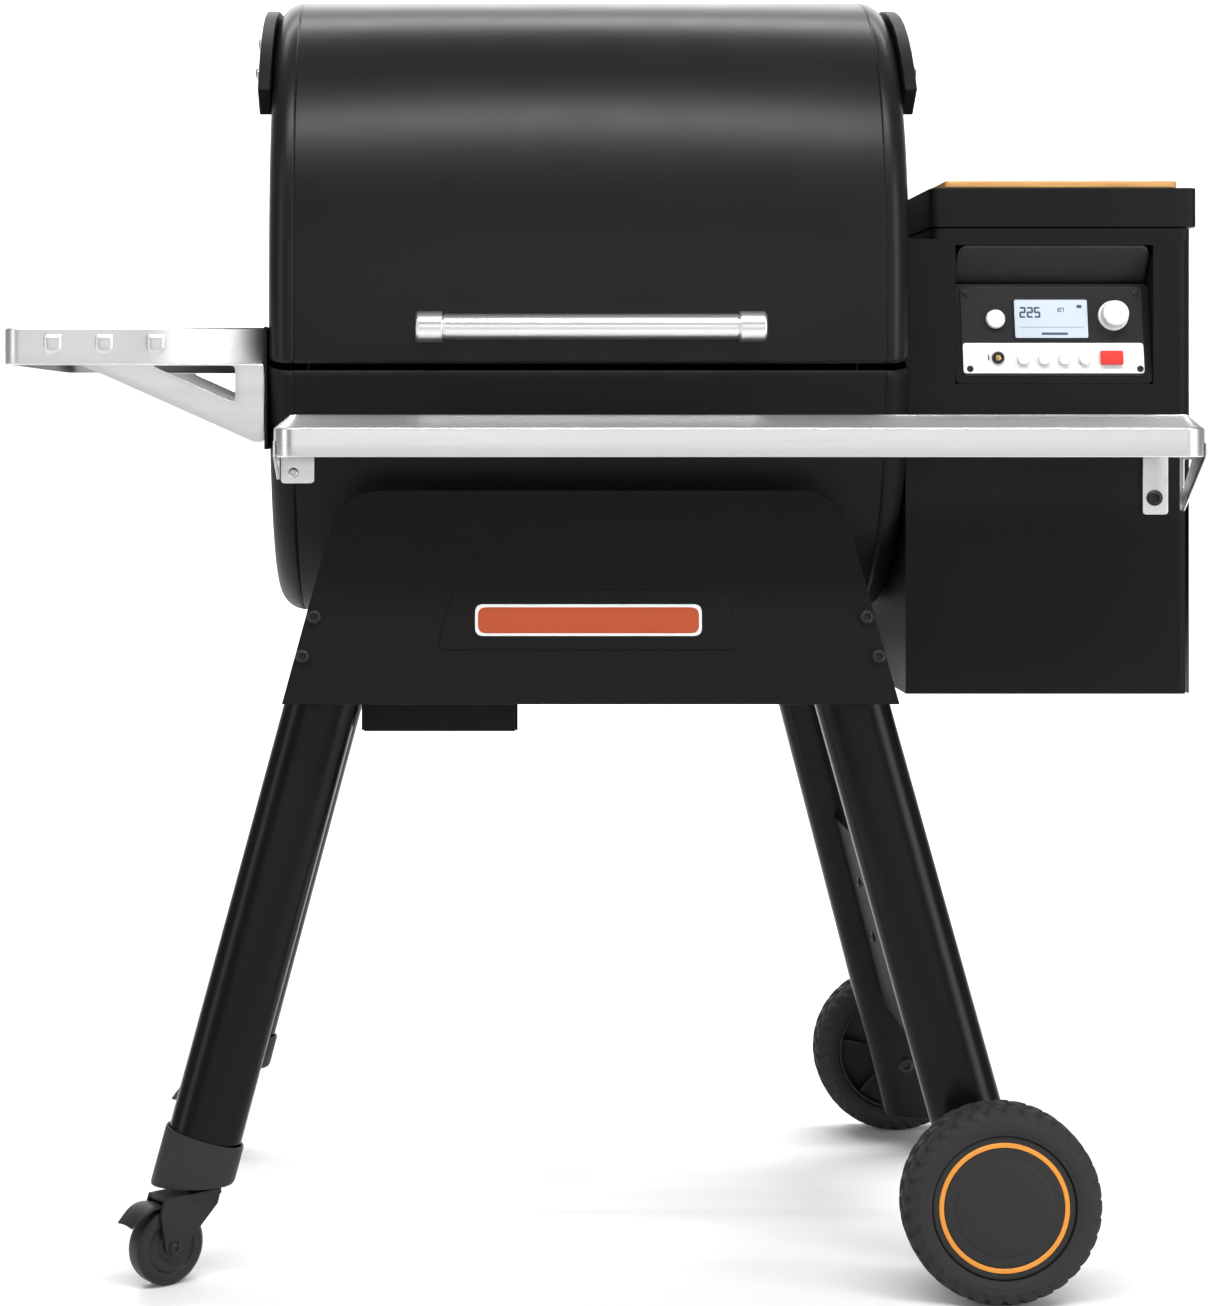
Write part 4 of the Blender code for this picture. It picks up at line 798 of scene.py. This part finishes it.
for side, sideWord in bothSides:
    for end, endWord in bothEnds:
        node = f"leg_{endWord}_{sideWord}"
        low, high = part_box(node)
        heights = np.concatenate([[low[2], low[2] + 0.0006, low[2] + 0.002],
                                  np.linspace(low[2] + 0.004, high[2] - 0.004, 12), [high[2]]])
        grow = np.concatenate([[-0.0018, -0.0006, 0.0], np.zeros(13)])
        mesh = tubeMesh(node + "_tube", legSurface(side, end, heights, grow))
        keepPiece(node + "_tube", mesh, legPaint, "frame", nodes=(node,), sharpAngle=50)

collar = {
    "rim": 0.046,
    "grow": [0.0008, 0.0026, 0.0035, 0.0036, 0.0035, 0.0030, 0.0018, 0.0006, 0.0005],
    "lean": [0, 0, 0, 0.25, 1, 1, 1, 1, 1],
}
for end, word in bothEnds:
    node = f"collar_{word}"
    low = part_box(node)[0][2]
    rim = low + collar["rim"]
    heights = [low, low + 0.0006, low + 0.003, low + 0.012, rim - 0.002, rim - 0.0004, rim, rim - 0.0006,
               rim - 0.014]
    mesh = tubeMesh(node + "_cup", legSurface(-1, end, heights, collar["grow"], collar["lean"]))
    keepPiece(node + "_cup", mesh, blackPlastic, "frame", nodes=(node,), sharpAngle=45)
refinedNode("leg_brace", bracePaint, "frame", edge=0.0008)
for i, place in enumerate(((0.2980, 0.098, 0.3274), (0.3145, 0.1055, 0.2657))):
    boltPiece(f"braceBolt_{i}", place, (-1, 0, 0), 0.0062, 0.0030, casterBlack, "frame")

apron = {"topY": -0.2460, "tilt": 0.090, "sheet": 0.003}
apronBolt = {"places": ((0.2655, 0.6440), (0.2765, 0.6065)), "sunk": 0.0002, "radius": 0.0072,
             "height": 0.0055}
badge = {"x": -0.0165, "corner": 0.008}
for word in ("front", "rear"):
    refinedNode(f"apron_{word}", blackPaint, "frame", edge=0.0010)
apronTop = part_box("apron_front")[1][2]


def apronPoint(x, z, out=0.0, end=-1):
    # A point on the sloping apron: it leans outwards by the tilt times the drop from its top.
    y = -end * (apron["topY"] - apron["tilt"] * (apronTop - z) - apron["sheet"] - out)
    return np.stack([np.broadcast_to(x, np.shape(z)), y, np.broadcast_to(z, np.shape(y))], -1)


def apronPad(name, halfTop, top, halfFoot, foot, rise, edge, material, low=0.0):
    # A raised field on the apron: the outline shrinks by a quarter circle as it rises.
    middleX = badge["x"]
    loop = roundCorners([(middleX - halfTop, top), (middleX + halfTop, top), (middleX + halfFoot, foot),
                         (middleX - halfFoot, foot)], badge["corner"], 6)
    middle = loop.mean(0)
    reach = np.abs(loop - middle).max(0)
    t = np.linspace(0, np.pi / 2, 6)
    inset = np.concatenate([[0.0], edge * (1 - np.cos(t))])
    lift = np.concatenate([[low], rise - min(edge, rise - low) * (1 - np.sin(t))])
    ring = middle + (loop - middle)[None] * (1 - inset[:, None, None] / reach)
    points = apronPoint(ring[..., 0], ring[..., 1], lift[:, None])
    keepPiece(name, tubeMesh(name, points), material, "frame", sharpAngle=50)


apronPad("apronField", 0.131, 0.670, 0.146, 0.6125, 0.0016, 0.0028, blackPaint)
apronPad("badgeBorder", 0.109, 0.6562, 0.109, 0.6258, 0.0030, 0.0010, badgeSilver, 0.0015)
apronPad("badgePlate", 0.1062, 0.6534, 0.1062, 0.6286, 0.0034, 0.0004, badgeOrange, 0.0028)
for end, endWord in bothEnds:
    for side, sideWord in bothSides:
        for i, (offset, z) in enumerate(apronBolt["places"]):
            place = apronPoint(np.array(barrelX + side * offset), np.array(z), -apronBolt["sunk"], end)
            boltPiece(f"apronBolt_{endWord}_{sideWord}_{i}", place, (0, end, apron["tilt"]),
                      apronBolt["radius"], apronBolt["height"], casterBlack, "frame")
print("legs and aprons made")


# The two large wheels: tread, hub cap with its ring, and ribs on the inner side.

tyre = {"radius": 0.094, "width": 0.050, "wallRadius": 0.0805, "innerRadius": 0.0684, "blocks": 34,
        "grooveDepth": 0.0034, "steps": 612}


def tyreMesh(name, centre, outward):
    # Radius over angle t and width w: a rounded section minus grooves, whose wave
    # sin(N t + 2.2 sin(2.2 pi w)) bends across the tread. The side walls follow on both sides.
    side, up, along = basis(outward)
    w = np.concatenate([np.linspace(-1, -0.9, 4), np.linspace(-0.86, 0.86, 27), np.linspace(0.9, 1, 4)])
    t = np.linspace(0, 2 * np.pi, tyre["steps"], endpoint=False)
    crown = tyre["radius"] - 0.0135 * np.abs(w) ** 6 - 0.0006 * w ** 2
    shift = np.where(w > 0, 0, np.pi)[:, None] * 0.6
    wave = np.sin(tyre["blocks"] * t[None] + 2.2 * np.sin(2.2 * np.pi * w[:, None]) + shift)
    cut = 1 / (1 + np.exp(-(wave - 0.45) * 9))
    ringCut = np.exp(-((np.abs(w) - 0.30) / 0.055) ** 2)[:, None]
    edge = np.clip((1.0 - np.abs(w)) / 0.06, 0, 1)[:, None]
    shoulder = np.where(np.abs(w) > 0.80, 0.8, 1.0)[:, None]
    r = crown[:, None] - tyre["grooveDepth"] * np.maximum(cut, ringCut) * edge * shoulder
    h = np.broadcast_to((w * tyre["width"] / 2)[:, None], r.shape)
    share = np.linspace(0, 1, 12)[1:]
    wall = tyre["wallRadius"] + (tyre["innerRadius"] - tyre["wallRadius"]) * share
    belly = tyre["width"] / 2 * (1 - 0.10 * share ** 2) + 0.0006 * np.exp(-((share - 0.55) / 0.08) ** 2)
    outer = np.broadcast_to(wall[:, None], (len(wall), len(t)))
    rr = np.concatenate([outer[::-1], r, outer])
    hh = np.concatenate([np.broadcast_to(-belly[::-1, None], outer.shape), h,
                         np.broadcast_to(belly[:, None], outer.shape)])
    points = (np.asarray(centre, float) + (rr * np.cos(t))[..., None] * side
              + (rr * np.sin(t))[..., None] * up + hh[..., None] * along)
    return faceOut(gridMesh(name, points, closeU=True, closeV=True))


def spokeMesh(name, centre, along, angle):
    # A flat rib from the boss to the rim on the wheel's inner side, as two rings of four corners.
    side, up, axis = basis(along)
    radial = np.cos(angle) * side + np.sin(angle) * up
    across = -np.sin(angle) * side + np.cos(angle) * up
    turn = ((-1, 0.0), (-1, 0.013), (1, 0.013), (1, 0.0))
    rings = np.array([[radial * r + across * s * 0.0016 + axis * (-0.0175 + deep) for s, deep in turn]
                      for r in (0.011, 0.062)])
    return tubeMesh(name, np.asarray(centre, float) + rings)


hubFace = [(0.0121, -0.0040), (0.0150, -0.0035), (0.0600, -0.0035), (0.0635, -0.0060), (0.0635, -0.0200),
           (0.0645, -0.0210), (0.0674, -0.0205), (0.0680, -0.0190), (0.0680, 0.0192), (0.0668, 0.0206),
           (0.0620, 0.0208), (0.0616, 0.0198), (0.0566, 0.0198), (0.0562, 0.0208), (0.0540, 0.0212),
           (0.0470, 0.0210), (0.0440, 0.0222), (0.0200, 0.0232), (0.0030, 0.0234)]
hubRing = [(0.0568, 0.0199), (0.0614, 0.0199), (0.0614, 0.0208), (0.0608, 0.0214), (0.0574, 0.0214),
           (0.0568, 0.0208)]
for end, word in bothEnds:
    low, high = boxCorners(f"tyre_{word}")
    centre = (low + high) / 2
    outward = np.array([0.0, end, 0.0])
    body = f"wheel_{word}"
    tread = tyreMesh(f"tread_{word}", centre, outward)
    keepPiece(f"tread_{word}", tread, tyreRubber, body, nodes=(f"tyre_{word}",), sharpAngle=60)
    hubLow, hubHigh = boxCorners(f"wheel_hub_{word}")
    inner = centre[1] - hubHigh[1] if end < 0 else hubLow[1] - centre[1]
    face = softProfile([(0.0115, inner), (0.0121, inner + 0.0010), *hubFace], 0.0008, 3)
    cap = turnedMesh(f"hubCap_{word}", face, centre, outward, 128)
    keepPiece(f"hubCap_{word}", cap, hubPlastic, body, (f"wheel_hub_{word}",), sharpAngle=40)
    ring = turnedMesh(f"hubRing_{word}", hubRing, centre, outward, 128, closed=True)
    keepPiece(f"hubRing_{word}", ring, orangePlastic, body)
    ribs = [spokeMesh("rib", centre, outward, angle) for angle in np.arange(6) * np.pi / 3 + 0.2]
    keepPiece(f"hubRibs_{word}", joinMeshes(f"hubRibs_{word}", ribs), hubPlastic, body)
    axleX, axleY = legMiddle(1, end, centre[2])
    place = (axleX - 0.002, axleY - end * (leg["depth"] / 2 - 0.0004), centre[2] + 0.004)
    boltPiece(f"axleBolt_{word}", place, (0, -end, 0), 0.0090, 0.0060, casterBlack, "frame")


# The two casters: fork, wheel, axle bolt and brake pedal.

caster = {"radius": 0.0375, "width": 0.023, "yaw": math.radians(38), "boltOut": 0.0042}
trail = np.array([-math.cos(caster["yaw"]), -math.sin(caster["yaw"]), 0.0])
axle = np.array([math.sin(caster["yaw"]), -math.cos(caster["yaw"]), 0.0])


def pedalMesh(name, hub):
    # A bent strip carried across the axle. Its height over the distance behind the hub is a flattened S.
    s = np.linspace(0, 1, 24)
    along = 0.010 + 0.036 * s
    height = 0.0405 - 0.0135 * s ** 1.6 + 0.004 * np.sin(np.pi * s)
    half = 0.0125 + 0.0025 * np.sin(np.pi * np.clip(s * 1.1, 0, 1))
    t = np.linspace(-1, 1, 9)
    points = (np.asarray(hub, float) + along[:, None, None] * trail + (half[:, None] * t)[..., None] * axle
              + (height[:, None] - 0.0012 * t ** 2)[..., None] * np.array([0, 0, 1.0]))
    return gridMesh(name, points)


# The wheel's section from its middle groove outwards, as (radius, share of the half width).
casterHalf = [(0.0050, 0.96), (0.0125, 0.96), (0.0140, 0.80), (0.0235, 0.80), (0.0250, 1.0), (0.0330, 1.0),
              (caster["radius"] - 0.0006, 0.72), (caster["radius"], 0.30)]
halfWidth = caster["width"] / 2
casterRim = softProfile([(r, -halfWidth * share) for r, share in casterHalf]
                        + [(r, halfWidth * share) for r, share in reversed(casterHalf)], 0.0010, 3)
for end, word in bothEnds:
    fork, wheel = f"caster_fork_{word}", f"caster_wheel_{word}"
    refinedNode(fork, casterBlack, fork, edge=0.0007, sharpAngle=34)
    low, high = boxCorners(wheel)
    hub = (low + high) / 2
    mesh = turnedMesh(f"casterTyre_{word}", casterRim, hub, axle, 96)
    keepPiece(f"casterTyre_{word}", mesh, casterBlack, wheel, (wheel,), sharpAngle=40)
    place = hub + axle * (halfWidth + caster["boltOut"])
    boltPiece(f"casterBolt_{word}", place, axle, 0.0062, 0.0036, casterBlack, fork)
    pedal = keepPiece(f"casterPedal_{word}", pedalMesh(f"casterPedal_{word}", hub), casterBlack, fork)
    withWall(pedal, 0.0028, 0.0, 0.0008)
print("wheels and casters made")


# Inside the barrel and under it: grates, racks, tray, baffle, fire pot, feed and grease pan.

def wireMesh(name, path, radius, sides=8):
    # A round wire: a circle of the radius carried along a straight or bent path of points.
    path = np.asarray(path, float)
    tangent = np.gradient(path, axis=0)
    tangent /= np.linalg.norm(tangent, axis=1)[:, None]
    side = np.cross(tangent, np.array([0.0, 0.0, 1.0]))
    side /= np.linalg.norm(side, axis=1)[:, None]
    up = np.cross(side, tangent)
    t = np.linspace(0, 2 * np.pi, sides, endpoint=False)
    circle = np.cos(t)[None, :, None] * side[:, None] + np.sin(t)[None, :, None] * up[:, None]
    return tubeMesh(name, path[:, None] + radius * circle)


def rimPath(low, high, inset, z, steps=6):
    # A rectangle in plan with short rounded corners, closed by repeating its first point.
    loop = roundCorners([(low[0] + inset, low[1] + inset), (high[0] - inset, low[1] + inset),
                         (high[0] - inset, high[1] - inset), (low[0] + inset, high[1] - inset)], 0.012, steps)
    loop = np.concatenate([loop, loop[:1]])
    return np.concatenate([loop, np.full((len(loop), 1), z)], 1)


grate = {"rimInset": 0.0032, "rim": 0.0030, "bars": 42, "barMargin": 0.012, "bar": 0.0018, "barUp": 0.0008,
         "tie": 0.0019, "tieDown": 0.0010, "end": 0.003}
for name in ("main_grate", "middle_grate", "upper_grate"):
    low, high = boxCorners(name)
    middle = (low[2] + high[2]) / 2
    wires = [wireMesh("wire", rimPath(low, high, grate["rimInset"], middle), grate["rim"])]
    start, stop = low + grate["end"], high - grate["end"]
    barZ, tieZ = middle + grate["barUp"], middle - grate["tieDown"]
    for x in np.linspace(low[0] + grate["barMargin"], high[0] - grate["barMargin"], grate["bars"]):
        wires.append(wireMesh("wire", [(x, start[1], barZ), (x, stop[1], barZ)], grate["bar"], 6))
    for y in np.linspace(low[1], high[1], 5)[1:-1]:
        wires.append(wireMesh("wire", [(start[0], y, tieZ), (stop[0], y, tieZ)], grate["tie"], 6))
    grid = joinMeshes(name + "_wires", wires)
    keepPiece(name + "_wires", grid, enamelWire, name, nodes=(name,))

for node, finish in (("grate_rack_left", enamelWire), ("grate_rack_right", enamelWire),
                     ("drip_tray", potSteel), ("heat_baffle", potSteel), ("fire_pot", potSteel),
                     ("auger_tube", potSteel), ("auger_motor", casterBlack), ("combustion_fan", blackPlastic),
                     ("pan_rail_left", blackPaint), ("pan_rail_right", blackPaint)):
    refinedNode(node, finish, "drip_tray" if node == "drip_tray" else "frame", edge=0.0005, segments=2)
refinedNode("grease_pan", blackPaint, "grease_pan", edge=0.0008)


def augerMesh(name, low, high):
    # Radius over angle a and distance x: core + (outer - core) exp(-(wrapped(a - 2 pi x / pitch) / 0.3)^4).
    axisY, axisZ = (low[1] + high[1]) / 2, (low[2] + high[2]) / 2
    outer, core, pitch = (high[2] - low[2]) / 2, 0.008, 0.048
    x = np.linspace(low[0], high[0], 420)[:, None]
    a = np.linspace(0, 2 * np.pi, 72, endpoint=False)[None]
    phase = np.angle(np.exp(1j * (a - 2 * np.pi * (x - low[0]) / pitch)))
    r = core + (outer - core) * np.exp(-(phase / 0.30) ** 4)
    points = np.stack([np.broadcast_to(x, r.shape), axisY + r * np.cos(a), axisZ + r * np.sin(a)], -1)
    return tubeMesh(name, points)


augerScrew = augerMesh("augerScrew", *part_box("auger"))
keepPiece("augerScrew", augerScrew, potSteel, "auger", nodes=("auger",))
print("inside made")


# Floor, light and camera.

def stageMesh(name, width, near, far, height, radius=1.6):
    # A floor that turns up into a wall behind: flat, then a quarter circle, then straight up.
    turn = np.linspace(0, np.pi / 2, 24)
    y = np.concatenate([[near], far - radius + radius * np.sin(turn), [far]])
    z = np.concatenate([[0.0], radius - radius * np.cos(turn), [height]])
    x = np.linspace(-width / 2, width / 2, 3)
    return gridMesh(name, np.stack(np.broadcast_arrays(x[None, :], y[:, None], z[:, None]), -1))


stageMaterial, nodes, links, shader = newMaterial("paleStage")
paleTone = ramp(nodes, links, objectNoise(nodes, links, 3.0), (0.86, 0.86, 0.86), (0.89, 0.89, 0.89))
links.new(paleTone, shader.inputs["Base Color"])
shader.inputs["Roughness"].default_value = 0.9
shader.inputs["Specular IOR Level"].default_value = 0.1
floorMesh = stageMesh("paleFloor", 24.0, -9.0, 5.5, 7.0)
floorMesh.materials.append(stageMaterial)
floorMesh.shade_smooth()
floor = bpy.data.objects.new("paleFloor", floorMesh)
bpy.context.scene.collection.objects.link(floor)


def softBox(name, place, target, width, height, power):
    # A rectangular lamp at a place, turned towards its target.
    light = bpy.data.lights.new(name, "AREA")
    light.shape = "RECTANGLE"
    light.size, light.size_y = width, height
    light.energy = power
    holder = bpy.data.objects.new(name, light)
    holder.location = place
    holder.rotation_euler = (Vector(target) - Vector(place)).to_track_quat("-Z", "Y").to_euler()
    bpy.context.scene.collection.objects.link(holder)


softBox("lidBox", (0.0, -1.49, 2.68), (0.0, -0.2257, 1.1275), 3.4, 0.34, 75)
softBox("frontCard", (0.0, -6.0, 1.3), (0.0, 0.0, 0.9), 7.0, 2.4, 52)
softBox("leftBox", (-3.0, -1.6, 1.2), (0.0, 0.0, 0.7), 0.8, 2.6, 16)
softBox("rightBox", (2.8, -2.0, 1.0), (0.0, 0.0, 0.7), 1.0, 2.8, 44)
softBox("backHigh", (0.0, 2.6, 2.8), (0.0, -1.0, 0.4), 4.0, 1.0, 20)
softBox("backWash", (0.0, 2.0, 4.6), (0.0, 5.0, 1.0), 6.0, 1.5, 420)

world = bpy.data.worlds.new("softWorld")
world.use_nodes = True
world.node_tree.nodes["Background"].inputs["Color"].default_value = (1, 1, 1, 1)
world.node_tree.nodes["Background"].inputs["Strength"].default_value = 0.24
bpy.context.scene.world = world
bpy.context.scene.view_settings.view_transform = "Standard"

# The camera looks level along Y. The lens and the shifts are shares of the sensor's width.
view = {"place": (-0.137, -2.811, 0.8285), "sensor": 36.0, "lens": 2.031394, "shiftX": 0.110260,
        "shiftY": -0.174579}
camera = bpy.data.cameras.new("frontCamera")
camera.sensor_fit = "AUTO"
camera.sensor_width = view["sensor"]
camera.lens = view["sensor"] * view["lens"]
camera.shift_x, camera.shift_y = view["shiftX"], view["shiftY"]
cameraHolder = bpy.data.objects.new("frontCamera", camera)
cameraHolder.location = view["place"]
cameraHolder.rotation_euler = (math.pi / 2, 0.0, 0.0)
bpy.context.scene.collection.objects.link(cameraHolder)
bpy.context.scene.camera = cameraHolder
print("stage, lights and camera set")
